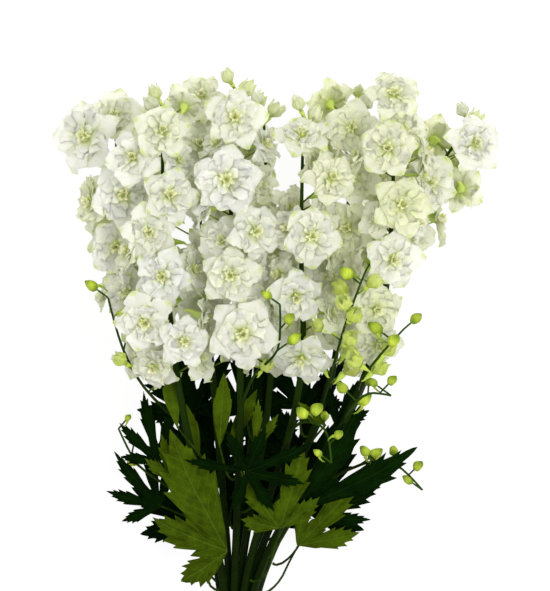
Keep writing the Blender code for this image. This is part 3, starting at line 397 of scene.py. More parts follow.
def tube(path, radii, sides):
    """A closed tube of triangles along a path, with flat ends."""
    ways = [(b - a).normalized() for a, b in zip(path, path[1:])]
    ways = [ways[0]] + [(a + b).normalized() for a, b in zip(ways, ways[1:])] + [ways[-1]]
    across = Vector((1.0, 0.0, 0.0))
    if max(abs(way.x) for way in ways) > NEARLY_ALONG_X:
        across = Vector((0.0, 0.0, 1.0))
    verts = []
    for point, way, radius in zip(path, ways, radii):
        u = (across - way * across.dot(way)).normalized()
        v = way.cross(u)
        for k in range(sides):
            turn = math.tau * k / sides
            verts.append(point + u * (radius * math.cos(turn)) + v * (radius * math.sin(turn)))
    faces = []
    for ring in range(len(path) - 1):
        for k in range(sides):
            a = ring * sides + k
            b = ring * sides + (k + 1) % sides
            faces += [(a, b, b + sides), (a, b + sides, a + sides)]
    last = (len(path) - 1) * sides
    for k in range(1, sides - 1):
        faces += [(0, k + 1, k), (last, last + k, last + k + 1)]
    return verts, faces


def floret_pose(middle, face, away):
    """The place of a floret: its own +Z looks along face, and its spur's side, +Y, is turned away."""
    up = (away - face * away.dot(face)).normalized()
    return Matrix.Translation(middle) @ Matrix((up.cross(face), up, face)).transposed().to_4x4()


def pressed(vert, lowest):
    """A point, kept from sinking into the surface that the bunch lies on."""
    return Vector((vert.x, vert.y, max(vert.z, lowest)))


def floret_shape(pose, radius, draw):
    """Five outer sepals round a raised ring of inner petals, and a spur behind, as one closed solid."""

    def point(turn, reach, height):
        return pose @ (Vector((reach * math.cos(turn), reach * math.sin(turn), height)) * radius)

    sector = math.tau / PETALS
    front, rim, back = [point(0.0, 0.0, EYE_HEIGHT)], [], []
    for i in range(PETALS):
        turn = sector * i
        between = turn + sector / 2
        lift = draw.uniform(*SEPAL_HEIGHT)
        length = draw.uniform(*SEPAL_REACH)
        front.append(point(between, draw.uniform(*INNER_REACH), INNER_HEIGHT))
        rim += [point(turn, length, lift), point(between, *SEPAL_NOTCH)]
        back.append(point(between, *BACK_NOTCH))
    spur = point(math.pi / 2, *SPUR_TIP)
    verts = [pressed(v, 0.0) for v in front + rim]
    verts += [pressed(v, PRESSED_THICKNESS) for v in back + [spur]]

    faces = []
    ring, edge, rear = 1, 1 + PETALS, 1 + 3 * PETALS
    tip = rear + PETALS
    for i in range(PETALS):
        before = (i - 1) % PETALS
        inner, inner_before = ring + i, ring + before
        end, notch, notch_before = edge + 2 * i, edge + 2 * i + 1, edge + 2 * before + 1
        hollow, hollow_before = rear + i, rear + before
        faces += [(0, inner_before, inner), (inner_before, notch_before, end)]
        faces += [(inner_before, end, inner), (inner, end, notch)]
        faces += [(hollow_before, end, notch_before), (hollow_before, hollow, end), (hollow, notch, end)]
        faces.append((hollow_before, tip, hollow))
    return verts, faces


def bud(owner, root, outward, stalk_length, radius):
    """A bud and its stalk as one tapered solid, pointed at its tip."""
    widest = stalk_length + BUD_SWELL * radius
    lengths = (0.0, stalk_length, widest, stalk_length + BUD_LENGTH * radius)
    path = [pressed(root + outward * length, radius) for length in lengths]
    radii = (STALK_RADIUS * BUD_ROOT_TAPER, STALK_RADIUS, radius, STALK_RADIUS * BUD_TIP_TAPER)
    return Solid(owner, "bud", *tube(path, radii, BUD_SIDES), (root, outward, stalk_length, radius))


def bundle_point(row, place, height):
    """The middle of a stem in the tied bundle, at one distance along it from the tie."""
    row_rise = STEM_SPACING * math.sqrt(3) / 2
    end_clearance = STEM_RADIUS * math.cos(math.pi / STEM_SIDES) * math.cos(BUNDLE_SLOPE)
    lowest_row = end_clearance + CUT_END_CLEARANCE + TIE_HEIGHT * math.sin(BUNDLE_SLOPE)
    below_tie = max(0.0, -height - TIE_WIDTH) / (TIE_HEIGHT - TIE_WIDTH)
    spread = 1.0 + (CUT_END_SPREAD - 1.0) * below_tie
    at_tie = Vector((
        BUNDLE_X + place * STEM_SPACING * spread,
        TIE_HEIGHT * math.cos(BUNDLE_SLOPE),
        lowest_row + row * row_rise,
    ))
    return at_tie + BUNDLE_ALONG * height


def out_of_bundle(turn):
    """The way out of the tied bundle, at one turn round it."""
    return Vector((1.0, 0.0, 0.0)) * math.cos(turn) + BUNDLE_UP * math.sin(turn)


def tied_stems():
    """The middles of the stems at the tie."""
    return [bundle_point(row, place, 0.0) for row, place, _ in PLANTS.values()]


def plant_paths(name):
    """The way of a plant's stem, from the cut end up, and of the spike on top of it."""
    row, place, spike = PLANTS[name]
    points = [bundle_point(row, place, h) for h in (-TIE_HEIGHT, -TIE_WIDTH, TIE_WIDTH)]
    whole = smooth_path(points + [Vector(p) * CM for p in spike], STEM_STEPS + SPIKE_STEPS)
    foot_ring = sum(STEM_STEPS)
    stem, spike_axis = whole[: foot_ring + 1], whole[foot_ring:]
    way = (spike_axis[1] - spike_axis[0]).normalized()
    stem[-1] = stem[-1] - way * (GAP / 2)
    spike_axis[0] = spike_axis[0] + way * (GAP / 2)
    return stem, spike_axis


def hung_floret(owner, axis, middle, face, size, seed):
    """A floret at its place, and the stalk that holds it to the spike's axis from behind."""
    radius = FLORET_RADIUS * size
    nearest = at_height(axis, middle.y)
    root = at_height(axis, middle.y - STALK_ROOT_BELOW * (middle - nearest).length)
    pose = floret_pose(middle, face, middle - root)
    shape = Solid(owner, "floret", *floret_shape(pose, radius, random.Random(seed)), (pose, radius, seed))
    knee, entry = (pose @ (Vector(p) * radius) for p in STALK_BEHIND_FLORET)
    from_behind = face.dot((middle - root).normalized()) > STRAIGHT_STALK
    path = [pressed(p, STALK_RADIUS) for p in ([root, entry] if from_behind else [root, knee, entry])]
    holder = Solid(owner, "stalk", *tube(path, [STALK_RADIUS] * len(path), STALK_SIDES), path)
    return shape, holder


def set_florets(name, axis, solids):
    """The florets with a chosen place, each moved along Z until it is clear."""
    draw = random.Random("set " + name)
    for x, y, size, lean_x, lean_y in SET_FLORETS[name]:
        down = size < 0
        face = Vector((lean_x, lean_y, -1.0 if down else 1.0)).normalized()
        seed = draw.random()
        if down and PLANTS[name][0] == REAR:
            heights = [LOWEST_FLORET + DOWN_STEP * k for k in range(DOWN_TRIES)]
        else:
            reach = SET_REACH - SET_REACH_LOST_BY_LEAN * min(1.0, Vector((lean_x, lean_y)).length)
            first = at_height(axis, y * CM).z + (SET_REACH_OF_A_BACK if down else reach)
            heights = [first + SET_STEP * k * (-1) ** k for k in range(SET_TRIES)]
        middles = [Vector((x * CM, y * CM, height)) for height in heights]
        tries = (hung_floret(name, axis, middle, face, abs(size), seed) for middle in middles)
        put_first_clear(tries, solids)


def faces_out(name, outward, middle):
    """True where a floret looks out of the bunch, and not at the next row, into the notch or over an edge."""
    row, place, _ = PLANTS[name]
    if middle.y > NOTCH_FLOOR and abs(middle.x - NOTCH_X) < NOTCH_HALF_WIDTH:
        return False
    if middle.y < RIGHT_SHOULDER and middle.x > RIGHT_EDGE_X:
        return False
    if row == REAR:
        return outward.z < MOST_TURNED_IN[row]
    at_side = row == MIDDLE and abs(place) == OUTERMOST_PLACE and outward.x * place > 0
    return outward.z > MOST_TURNED_IN[row] or at_side


def spiral_tries(name, axis, slot, rise, draw):
    """The places to try for one floret of the spiral, each further from the rule than the last."""
    foot, top = axis[0].y, axis[-1].y
    height = foot + (top - foot) * (SPIRAL_FOOT + SPIRAL_SPAN * rise)
    for attempt in range(SPIRAL_TRIES):
        loosen = attempt / SPIRAL_TRIES
        turn = GOLDEN_TURN * slot + draw.uniform(-1.0, 1.0) * math.pi * loosen
        outward = Vector((math.cos(turn), 0.0, math.sin(turn)))
        nod = draw.uniform(*SPIRAL_NOD)
        size = (SPIRAL_SIZE - SPIRAL_SIZE_LOST * rise) * (1.0 - (1.0 - SMALLEST_FLORET) * loosen)
        reach = draw.uniform(*SPIRAL_REACH) - SPIRAL_REACH_LOST * rise
        face = (outward + Vector((0.0, nod, 0.0))).normalized()
        shift = draw.uniform(-SPIRAL_SHIFT, SPIRAL_SHIFT) * loosen
        seed = draw.random()
        middle = at_height(axis, height + shift) + outward * reach + Vector((0.0, SPIRAL_RISE, 0.0))
        if middle.z >= LOWEST_FLORET and faces_out(name, outward, middle):
            yield hung_floret(name, axis, middle, face, size, seed)


def spiral_florets(name, axis, solids):
    """Florets up the spike, a golden turn apart, wherever they look out and there is room for one."""
    draw = random.Random("spiral " + name)
    wanted = FLORETS_PER_SPIKE[PLANTS[name][0]] - len(SET_FLORETS[name])
    for slot in range(SPIRAL_SLOTS):
        rise = (slot * SLOT_STEP % SPIRAL_SLOTS + 0.5) / SPIRAL_SLOTS
        if put_first_clear(spiral_tries(name, axis, slot, rise, draw), solids):
            wanted -= 1
        if wanted <= 0:
            break


def tip_bud_tries(name, root, k, draw):
    """The ways that one bud at the tip of a spike may point."""
    for attempt in range(TIP_BUD_TRIES):
        turn = GOLDEN_TURN * (k + attempt) + draw.uniform(-TIP_BUD_SWING, TIP_BUD_SWING)
        ahead = TIP_BUD_AHEAD + TIP_BUD_AHEAD_GAINED * k
        outward = Vector((math.cos(turn), ahead, math.sin(turn))).normalized()
        yield [bud(name, root, outward, TIP_BUD_STALK, BUD_RADIUS * (TIP_BUD_SIZE - TIP_BUD_SIZE_LOST * k))]


def tip_buds(name, axis, solids):
    """The buds at the top of a spike, smaller toward its tip."""
    draw = random.Random("tip " + name)
    length = axis[-1].y - axis[0].y
    buds = BUDS_PER_TIP[PLANTS[name][0]]
    for k in range(buds):
        below = TIP_BUD_TOP + TIP_BUD_STEP * (buds - 1 - k)
        put_first_clear(tip_bud_tries(name, at_height(axis, axis[-1].y - length * below), k, draw), solids)


def twig_tries(owner, start, way):
    """A side shoot's twig, at one height after the other."""
    for lift in SHOOT_LIFTS:
        moved = [Vector(p) * CM + Vector((0.0, 0.0, lift)) for p in way]
        path = smooth_path([start] + moved, SHOOT_STEPS)
        radii = tapered(path, SHOOT_ROOT_RADIUS, SHOOT_TIP_RADIUS)
        yield [Solid(owner, "twig", *tube(path, radii, STALK_SIDES), path)]


def shoot_bud_tries(owner, path, k, share, size, draw):
    """The ways that one bud on a side shoot may point."""
    spot = share * (len(path) - 1)
    low = min(int(spot), len(path) - 2)
    root = path[low].lerp(path[low + 1], spot - low)
    for attempt in range(SHOOT_BUD_TRIES):
        turn = GOLDEN_TURN * k + SHOOT_BUD_TURN * attempt
        outward = Vector((math.cos(turn), SHOOT_BUD_AHEAD, math.sin(turn))).normalized()
        radius = BUD_RADIUS * size * (SHOOT_BUD_SIZE - SHOOT_BUD_SIZE_LOST * share)
        radius = radius * draw.uniform(*SHOOT_BUD_SPREAD)
        yield [bud(owner, root, outward, draw.uniform(*SHOOT_BUD_STALK), radius)]


def side_shoot(shoot, stem, solids):
    """A thin shoot from a stem, with buds on short stalks along it."""
    plant, leaves_at, way, buds, size = shoot
    owner = "stem_" + plant
    draw = random.Random("shoot %s %s" % (plant, leaves_at))
    twig = put_first_clear(twig_tries(owner, at_height(stem, leaves_at * CM), way), solids)
    for k in range(buds if twig else 0):
        share = SHOOT_BARE + (1.0 - SHOOT_BARE) * k / (buds - 1)
        put_first_clear(shoot_bud_tries(owner, twig[0].plan, k, share, size, draw), solids)


def leaf_ways(heading, lean):
    """The way that a leaf points, the way to its left, and the way that its face looks."""
    normal = Vector((lean[0], lean[1], 1.0)).normalized()
    ahead = Vector((math.cos(heading), math.sin(heading), 0.0))
    ahead = (ahead - normal * ahead.dot(normal)).normalized()
    return ahead, normal.cross(ahead), normal


def leaf_notches(form):
    """The turn and the reach of each notch of a leaf, from right to left."""
    lobes = []
    for turn, reach, half_width, gap in LEAF_FORMS[form]:
        edge = math.atan2(half_width, TOOTH_REACH * reach)
        lobes.append((math.radians(turn) - edge, math.radians(turn) + edge, gap))
    notches = [(lobes[0][0] - OUTER_NOTCH_TURN, OUTER_NOTCH)]
    for (_, left, gap), (right, _, _) in zip(lobes, lobes[1:]):
        notches.append(((left + right) / 2, gap))
    notches.append((lobes[-1][1] + OUTER_NOTCH_TURN, lobes[-1][2]))
    return notches


def leaf_shape(joint, heading, lean, length, form, draw):
    """A lobed and toothed leaf blade that arches down to its tips, thin toward its edges."""
    ahead, beside, normal = leaf_ways(heading, lean)
    verts = []

    def add(turn, along, aside, lift):
        x = along * math.cos(turn) - aside * math.sin(turn)
        y = along * math.sin(turn) + aside * math.cos(turn)
        share = along / length
        height = length * (ARCH_RISE * share + ARCH_FALL * share * share) + lift
        verts.append(pressed(joint + ahead * x + beside * y + normal * height, 0.0))
        return len(verts) - 1

    notches = [add(turn, length * reach, 0.0, -NOTCH_DROP * length) for turn, reach in leaf_notches(form)]
    top, under = (add(0.0, 0.0, 0.0, side * LEAF_ROOT_HALF_THICKNESS) for side in (1, -1))
    faces = [(top, under, notches[0]), (under, top, notches[-1])]
    for lobe, right_notch, left_notch in zip(LEAF_FORMS[form], notches, notches[1:]):
        turn = math.radians(lobe[0])
        reach = length * lobe[1] * draw.uniform(*LOBE_LENGTHS)
        width = length * lobe[2]
        wave = draw.uniform(-LOBE_WAVE, LOBE_WAVE) * length
        ribs = [[add(turn, reach * share, 0.0, side * LEAF_HALF_THICKNESS) for share in RIB_REACHES]
                for side in (1, -1)]
        right_tooth = add(turn, reach * TOOTH_REACH, -width, wave)
        right_dent = add(turn, reach * DENT_REACH, -DENT_WIDTH * width, 0.0)
        end = add(turn, reach, 0.0, 0.0)
        left_dent = add(turn, reach * DENT_REACH, DENT_WIDTH * width, 0.0)
        left_tooth = add(turn, reach * TOOTH_REACH, width, -wave)
        for middle, (near, far), way_round in ((top, ribs[0], 1), (under, ribs[1], -1)):
            side = [(middle, right_notch, near), (right_notch, right_tooth, near)]
            side += [(right_tooth, far, near), (right_tooth, right_dent, far)]
            side += [(right_dent, end, far), (end, left_dent, far), (left_dent, left_tooth, far)]
            side += [(left_tooth, near, far), (left_tooth, left_notch, near), (left_notch, middle, near)]
            faces += [face[::way_round] for face in side]
    return verts, faces


def leaf_tries(name, foot, way, seat, solids):
    """A leaf's blade and its stalk, at one lift after the other and with the stalk swung round the stem."""
    _, _, joint, heading, lean, length, form, _ = LEAVES[name]
    heading = math.radians(heading)
    ahead = leaf_ways(heading, lean)[0]
    for step in LEAF_LIFTS:
        tip = Vector(joint) * CM + Vector((0.0, 0.0, LEAF_LIFT * step))
        if tip.z < LOWEST_LEAF:
            continue
        shape = leaf_shape(tip, heading, lean, length * CM, form, random.Random("leaf " + name))
        blade = Solid("leaf_" + name, "blade", *shape, (name, tip))
        if not blade.clear_of(solids):
            continue
        out = tip - foot
        out = (out - way * out.dot(way)).normalized()
        for swing in range(LEAF_STALK_SWINGS):
            aside = Matrix.Rotation(math.tau * swing / LEAF_STALK_SWINGS, 3, way) @ out
            start = foot + aside * seat
            end = tip + ahead * (LEAF_STALK_ON_BLADE * length * CM)
            path = smooth_path([start, start + aside * LEAF_STALK_RISE, end], LEAF_STALK_STEPS)
            path = [pressed(p, LEAF_STALK_RADIUS) for p in path]
            radii = tapered(path, LEAF_STALK_RADIUS * LEAF_STALK_FOOT, LEAF_STALK_RADIUS * LEAF_STALK_TOP)
            yield blade, Solid("leaf_" + name, "leaf_stalk", *tube(path, radii, STALK_SIDES), path)


def leaf_solids(name, stem, solids):
    """A leaf blade and the leaf stalk that carries it, lifted until both are clear."""
    foot_height = LEAVES[name][1]
    foot = at_height(stem, foot_height * CM)
    way = (at_height(stem, (foot_height + 1.0) * CM) - foot).normalized()
    share = foot_height * CM / stem[-1].y
    seat = STEM_RADIUS + (SPIKE_FOOT_RADIUS - STEM_RADIUS) * share + SEAT_GAP
    put_first_clear(leaf_tries(name, foot, way, seat, solids), solids)


def grow_plan():
    """Every stem, floret, bud, shoot and leaf by its owner, where the part's source places it."""
    paths = {name: plant_paths(name) for name in PLANTS}
    solids = []
    for name, (stem, axis) in paths.items():
        stem_tube = tube(stem, tapered(stem, STEM_RADIUS, SPIKE_FOOT_RADIUS), STEM_SIDES)
        axis_tube = tube(axis, tapered(axis, SPIKE_FOOT_RADIUS, SPIKE_TIP_RADIUS), SPIKE_SIDES)
        solids += [Solid("stem_" + name, "axis", *stem_tube, stem), Solid(name, "axis", *axis_tube, axis)]
    for name, (_, axis) in paths.items():
        set_florets(name, axis, solids)
    for name, (plant, *_) in LEAVES.items():
        leaf_solids(name, paths[plant][0], solids)
    for shoot in SIDE_SHOOTS:
        side_shoot(shoot, paths[shoot[0]][0], solids)
    for name, (_, axis) in paths.items():
        tip_buds(name, axis, solids)
        spiral_florets(name, axis, solids)
    owned = {}
    for solid in solids:
        owned.setdefault(solid.owner, []).append(solid)
    return owned


def plan_shift():
    """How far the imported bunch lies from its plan, read from the tie, a flat band round the stems."""
    stems = tied_stems()
    corners = []
    for k in range(TIE_POINTS):
        way = out_of_bundle(math.tau * (k + 0.5) / TIE_POINTS)
        outside = max(stems, key=way.dot) + way * (STEM_RADIUS + SEAT_GAP + TIE_THICKNESS)
        corners += [tuple(outside + BUNDLE_ALONG * (side * TIE_WIDTH / 2)) for side in (-1, 1)]
    corners = np.array(corners)
    low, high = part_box("tie")
    return (np.array(low) + np.array(high)) / 2 - (corners.min(0) + corners.max(0)) / 2


# The fine shapes
FLOOR_SOFTNESS = 0.003
INSIDE_RIM = (slice(1, -1), slice(1, -1))
SHARP_ANGLE = math.radians(75)
FINE_STALK_RADIUS = 0.0008
SEAM_COVER = 0.0008
RIDGED = {"ridges": 5, "depth": 0.07}

# The sides of the fine tubes, and their rings in each stretch of their path
STEM_FINE_SIDES = 20
BUD_FINE_SIDES = 10
TWIG_SIDES = 8
SPUR_SIDES = 8
SMALL_SIDES = 6
ANTHER_SIDES = 4
STEM_RINGS = 4
TWIG_RINGS = 2
STALK_RINGS = 5
LEAF_STALK_RINGS = 3

# A fine floret over its solid: how much wider, how much more where it is small, and where it looks sideways
FLORET_SWELL = 1.11
SMALL_SWELL = 0.45
SIDEWAYS_SWELL = 0.10

# The form of a petal: shares of its length, of its width or, for depths, of a floret's radius
PETAL_THICKNESS = 0.018
ROWS_TO_END = 1.1
RIM_WAVES = (2.2, 3.4)
RIM_DEPTH = 0.11
RAGGED_PART = (0.35, 0.25)
END_SHARPNESS = (0.62, 0.95)
FOOT_WIDTH = 0.20
WIDENED_BY = 0.56
LEAST_WIDTH = 0.008
FRILL_DEPTH = 0.14
FRILLED_PART = (0.5, 0.3)
FOLD_DEPTH = 0.05
FOLD_WIDTH = 0.18

# The sepals and the layers of a floret inside them, in floret radii. Of a layer: how many petals, where they
# start, then the least and the most of their end, half width, middle height, end height, cup and ruffle, and
# their rows and columns
SEPAL_START = 0.08
SEPAL_FOOT = -0.05
SEPAL_MIDDLE = (0.04, 0.18)
SEPAL_CURL = (-0.20, 0.10)
SEPAL_HALF_WIDTH = (0.46, 0.60)
SEPAL_CUP = (-0.1, 0.3)
SEPAL_RUFFLE = (0.06, 0.11)
SEPAL_GRID = (12, 10)
PETAL_TWIST = (0.12, 0.26)
FULLNESS = (0.75, 1.0)
LAYER_SWING = (-0.18, 0.18)
LAYER_FOOT = 0.02
LAYER_CURL = (-0.10, 0.06)
FLORET_LAYERS = (
    ("second", 5, 0.10, (0.72, 0.98), (0.36, 0.50), (0.10, 0.20), (-0.02, 0.20), (-0.1, 0.3),
     (0.06, 0.10), (10, 8)),
    ("inner", 5, 0.08, (0.36, 0.60), (0.15, 0.25), (0.16, 0.22), (0.06, 0.15), (-0.1, 0.2),
     (0.03, 0.06), (7, 6)),
    ("crown", 9, 0.02, (0.11, 0.27), (0.05, 0.085), (0.24, 0.36), (0.24, 0.36), (0.7, 1.2),
     (0.02, 0.04), (5, 4)),
)

# The middle of a floret and its spur, in floret radii
ANTHERS = 5
ANTHER_SWING = (-0.4, 0.4)
ANTHER_REACH = (0.03, 0.15)
ANTHER_SHIFT = 0.03
ANTHER_HEIGHT = (0.26, 0.36)
ANTHER_FOOT = (0.6, 0.6, 0.1)
ANTHER_LENGTH = 0.03
ANTHER_RADII = (0.010, 0.015, 0.009)
THROAT_PATH = ((0.0, 0.05, 0.06), (0.0, 0.14, 0.20), (0.0, 0.18, 0.27))
THROAT_RADII = (0.05, 0.040, 0.02)
SPUR_PATH = (
    (0.0, 0.02, 0.02), (0.0, 0.08, -0.16), (0.0, 0.17, -0.40), (0.0, 0.22, -0.60), (0.0, 0.20, -0.72),
)
SPUR_RADII = (0.20, 0.16, 0.09, 0.055, 0.025)

# The buds, in their own radii. Those larger than OPEN_BUD_RADIUS, in metres, are half open.
OPEN_BUD_RADIUS = 0.0058
OPEN_BUD_SPUR = 2.2
OPEN_BUD_FLARE = (0.25, 0.75)
OPEN_SEPAL_FLARE = (0.6, 1.3)
OPEN_SEPAL_LENGTH = (0.86, 1.0)
OPEN_SEPAL_THICKNESS = 0.06
BUD_RIDGES = 5
BUD_RIDGE_DEPTH = 0.09
BUDS_WITHOUT_SPUR = 0.35
BUD_SPUR_FOOT = 0.9
BUD_SPUR_PATH = ((0.2, 0.0), (1.0, 0.7), (1.2, 1.8), (1.0, 2.6))
BUD_SPUR_RADII = (0.55, 0.32, 0.2, 0.1)

# The outline of one side of a lobe, from its notch to its tip: how far out along its rib, in lobe lengths,
# and how far from the rib, in its half widths
LOBE_OUTLINE = np.array((
    (0.36, 0.66), (0.46, 0.84), (0.55, 0.98), (0.63, 1.14), (0.61, 0.86), (0.68, 0.92), (0.77, 1.04),
    (0.73, 0.66), (0.80, 0.58), (0.88, 0.60), (0.85, 0.34), (0.91, 0.24), (0.96, 0.13), (1.0, 0.0),
))
LANCE_OUTLINE = np.array((
    (0.28, 0.62), (0.38, 0.86), (0.48, 0.98), (0.58, 1.02), (0.66, 1.00), (0.67, 0.86), (0.75, 0.76),
    (0.80, 0.72), (0.81, 0.56), (0.88, 0.40), (0.94, 0.22), (1.0, 0.0),
))
LEAF_ROWS = np.array((0.01, 0.12, 0.24, 0.38, 0.52, 0.66, 0.79, 0.91, 1.0))
LEAF_THICKNESS = 0.0006
LEAF_FOLD = 0.16
RIM_WAVE = 0.012
BLADE_WAVE = 0.030

# The turns of the tie: their width and thickness as shares of the solid's, and how far apart along the bundle
# two stems may lie and both carry the band
TIE_TURNS = 3
BAND_POINTS = 72
BAND_SECTION = 10
BAND_WIDTH = 0.48
BAND_HALF_THICKNESS = 0.42
BAND_WANDER = 0.0003
SAME_REACH = 0.0006

# Colours, in linear light
COOL_WHITE = np.array((0.96, 0.955, 0.915))
CREAM_WHITE = np.array((0.95, 0.94, 0.74))
YOUNG_GREEN = np.array((0.83, 0.88, 0.36))
# painted shade: the olive toward which florets low in the bunch, under the front ones, are dulled
OLIVE_PAINTED_SHADE = np.array((0.78, 0.79, 0.31))
TIP_GREEN = np.array((0.48, 0.66, 0.04))
SPUR_GREEN = np.array((0.50, 0.66, 0.08))
CROWN_CREAM = np.array((0.96, 0.94, 0.55))
CROWN_GREEN = np.array((0.76, 0.84, 0.22))
THROAT_GREEN = np.array((0.46, 0.54, 0.08))
ANTHER_BROWN = np.array((0.12, 0.10, 0.02))
STALK_GREEN = np.array((0.030, 0.070, 0.004))
STEM_GREEN = np.array((0.006, 0.014, 0.0015))
STEM_LIGHT = np.array((0.012, 0.030, 0.002))
BUD_GREEN = np.array((0.13, 0.25, 0.015))
BUD_YELLOW = np.array((0.50, 0.62, 0.06))
OPENING_GREEN = np.array((0.58, 0.74, 0.06))
OPENING_PALE = np.array((0.78, 0.86, 0.20))
# the dark tone is leaf green darkened by painted shade, for leaves that lie in the shade of the bunch
LEAF_TONES = {"olive": np.array((0.048, 0.082, 0.002)), "dark": np.array((0.0018, 0.0095, 0.0004))}
LEAF_STALK_GREEN = np.array((0.022, 0.050, 0.003))
TIE_TAN = np.array((0.55, 0.38, 0.20))
CUT_GREEN = np.array((0.34, 0.42, 0.16))
PITH_WHITE = np.array((0.62, 0.66, 0.42))
# painted glow: the petals give off a faint yellow-green light of their own, which lifts their shade
PAINTED_PETAL_GLOW = 0.02

# The colour of the veins and the least roughness of each kind of leaf
# the dark leaf is a copy of the olive one with painted shade
LEAF_LOOKS = {"olive": ((0.12, 0.19, 0.02, 1.0), 0.46), "dark": ((0.008, 0.030, 0.003, 1.0), 0.42)}

# Where the florets' tone changes, in metres of the plan: where each change starts and how far it takes. The
# ones with a minus run the other way along their axis.
CREAMY_FROM_X = (-0.02, 0.08)
CREAMY_UNTIL_X = (-0.14, 0.04)
TIPS_FROM_Y = (0.54, 0.08)
RIGHT_TIPS_FROM_Y = (0.42, 0.10)
# painted shade: florets lower than this are dulled to olive
PAINTED_SHADE_UNDER_Z = (-0.15, 0.06)

# How much of each tone a floret takes, and of green its sepals and inner petals
CREAM_SPREAD = 0.8
CREAM_ON_THE_RIGHT = 0.5
YOUNG_SPREAD = 0.5
YOUNG_AT_TIPS = 0.35
YOUNG_ON_THE_RIGHT = 0.2
MOST_YOUNG = 0.6
MOST_PAINTED_SHADE = 0.6
GREEN_TIP = (0.3, 1.0)
GREEN_BACK = (0.6, 1.0)
INNER_FADE = (0.9, 0.8)
CROWN_FADE = (0.85, 0.9)
OPEN_BUD_RIPENESS = (0.4, 1.0)
OPEN_BUD_TIP = (0.6, 1.0)

# The cut end of a stem: the pale ring and the pith, each with its share of the radius and how proud it stands
CUT_FACE_DEPTH = 0.0012
CUT_RINGS = ((0.88, 0.0002, CUT_GREEN), (0.5, 0.0003, PITH_WHITE))


def rise(x, start, span):
    """Zero up to the start, one from a span further on, and a smooth step between."""
    x = np.clip((x - start) / span, 0.0, 1.0)
    return x * x * (3.0 - 2.0 * x)


def bell(x, middle, width):
    """One at the middle, and almost nothing two widths from it."""
    return np.exp(-(((x - middle) / width) ** 2))


def blended(a, b, share):
    """Colours between two colours, one for each share."""
    share = np.asarray(share)[..., None]
    return a * (1.0 - share) + b * share


def in_scene(name, data):
    """A new object of the scene."""
    made = bpy.data.objects.new(name, data)
    bpy.context.scene.collection.objects.link(made)
    return made


class Gathered:
    """Points, faces, tints and places on the surface, gathered for one mesh."""

    def __init__(self):
        self.points = []
        self.faces = []
        self.tints = []
        self.places = []
        self.count = 0

    def add(self, points, faces, tints, places):
        """One closed shape: its points, lists of its faces, and a tint and a place for each point."""
        self.points.append(points)
        self.faces += [np.asarray(block) + self.count for block in faces]
        self.tints.append(np.broadcast_to(tints, points.shape))
        self.places.append(np.broadcast_to(places, points.shape))
        self.count += len(points)

    def piece(self, name, material, shift):
        """The mesh object of all that was gathered."""
        points = np.concatenate(self.points) + shift
        deep = points[:, 2] < FLOOR_SOFTNESS
        points[deep, 2] = FLOOR_SOFTNESS * np.exp((points[deep, 2] - FLOOR_SOFTNESS) / FLOOR_SOFTNESS)
        sizes = np.concatenate([np.full(len(block), block.shape[1]) for block in self.faces])
        corners = np.concatenate([block.ravel() for block in self.faces])
        mesh = bpy.data.meshes.new(name)
        mesh.vertices.add(len(points))
        mesh.vertices.foreach_set("co", points.ravel())
        mesh.loops.add(len(corners))
        mesh.loops.foreach_set("vertex_index", corners)
        mesh.polygons.add(len(sizes))
        mesh.polygons.foreach_set("loop_start", np.concatenate(([0], np.cumsum(sizes)[:-1])))
        mesh.update(calc_edges=True)
        tints = np.concatenate(self.tints)
        colour = mesh.attributes.new("tint", "FLOAT_COLOR", "POINT")
        colour.data.foreach_set("color", np.column_stack((tints, np.ones(len(tints)))).ravel())
        place = mesh.attributes.new("place", "FLOAT_VECTOR", "POINT")
        place.data.foreach_set("vector", np.concatenate(self.places).ravel())
        mesh.shade_smooth()
        mesh.set_sharp_from_angle(angle=SHARP_ANGLE)
        mesh.materials.append(material)
        return in_scene(name, mesh)


def stacked(*values):
    """Arrays and numbers brought to one shape and stacked along a new last axis."""
    return np.stack(np.broadcast_arrays(*values), -1)


def grid_faces(rows, columns, wrapped=False):
    """The quads of a grid of points, whose last column may join its first."""
    i = np.arange(rows - 1)[:, None]
    j = np.arange(columns if wrapped else columns - 1)[None, :]
    after = (j + 1) % columns
    corners = (i * columns + j, (i + 1) * columns + j, (i + 1) * columns + after, i * columns + after)
    return stacked(*corners).reshape(-1, 4)


def both_sides(face, back):
    """Values of a thin sheet's face and of its back, in the order of the sheet's points."""
    return np.concatenate((face.reshape(-1, 3), back[INSIDE_RIM].reshape(-1, 3)))


def sheet_sides(face, thickness):
    """The points of a thin closed sheet: its face, a grid, and its back, which meets the face at the rim."""
    normal = np.cross(np.gradient(face, axis=0), np.gradient(face, axis=1))
    normal /= np.linalg.norm(normal, axis=2, keepdims=True) + 1e-12
    rows, columns = face.shape[:2]
    under = np.arange(rows * columns).reshape(rows, columns)
    inside = under[INSIDE_RIM].shape
    under[INSIDE_RIM] = rows * columns + np.arange(inside[0] * inside[1]).reshape(inside)
    front = grid_faces(rows, columns)
    return both_sides(face, face - normal * thickness), [front, under.ravel()[front][:, ::-1]]


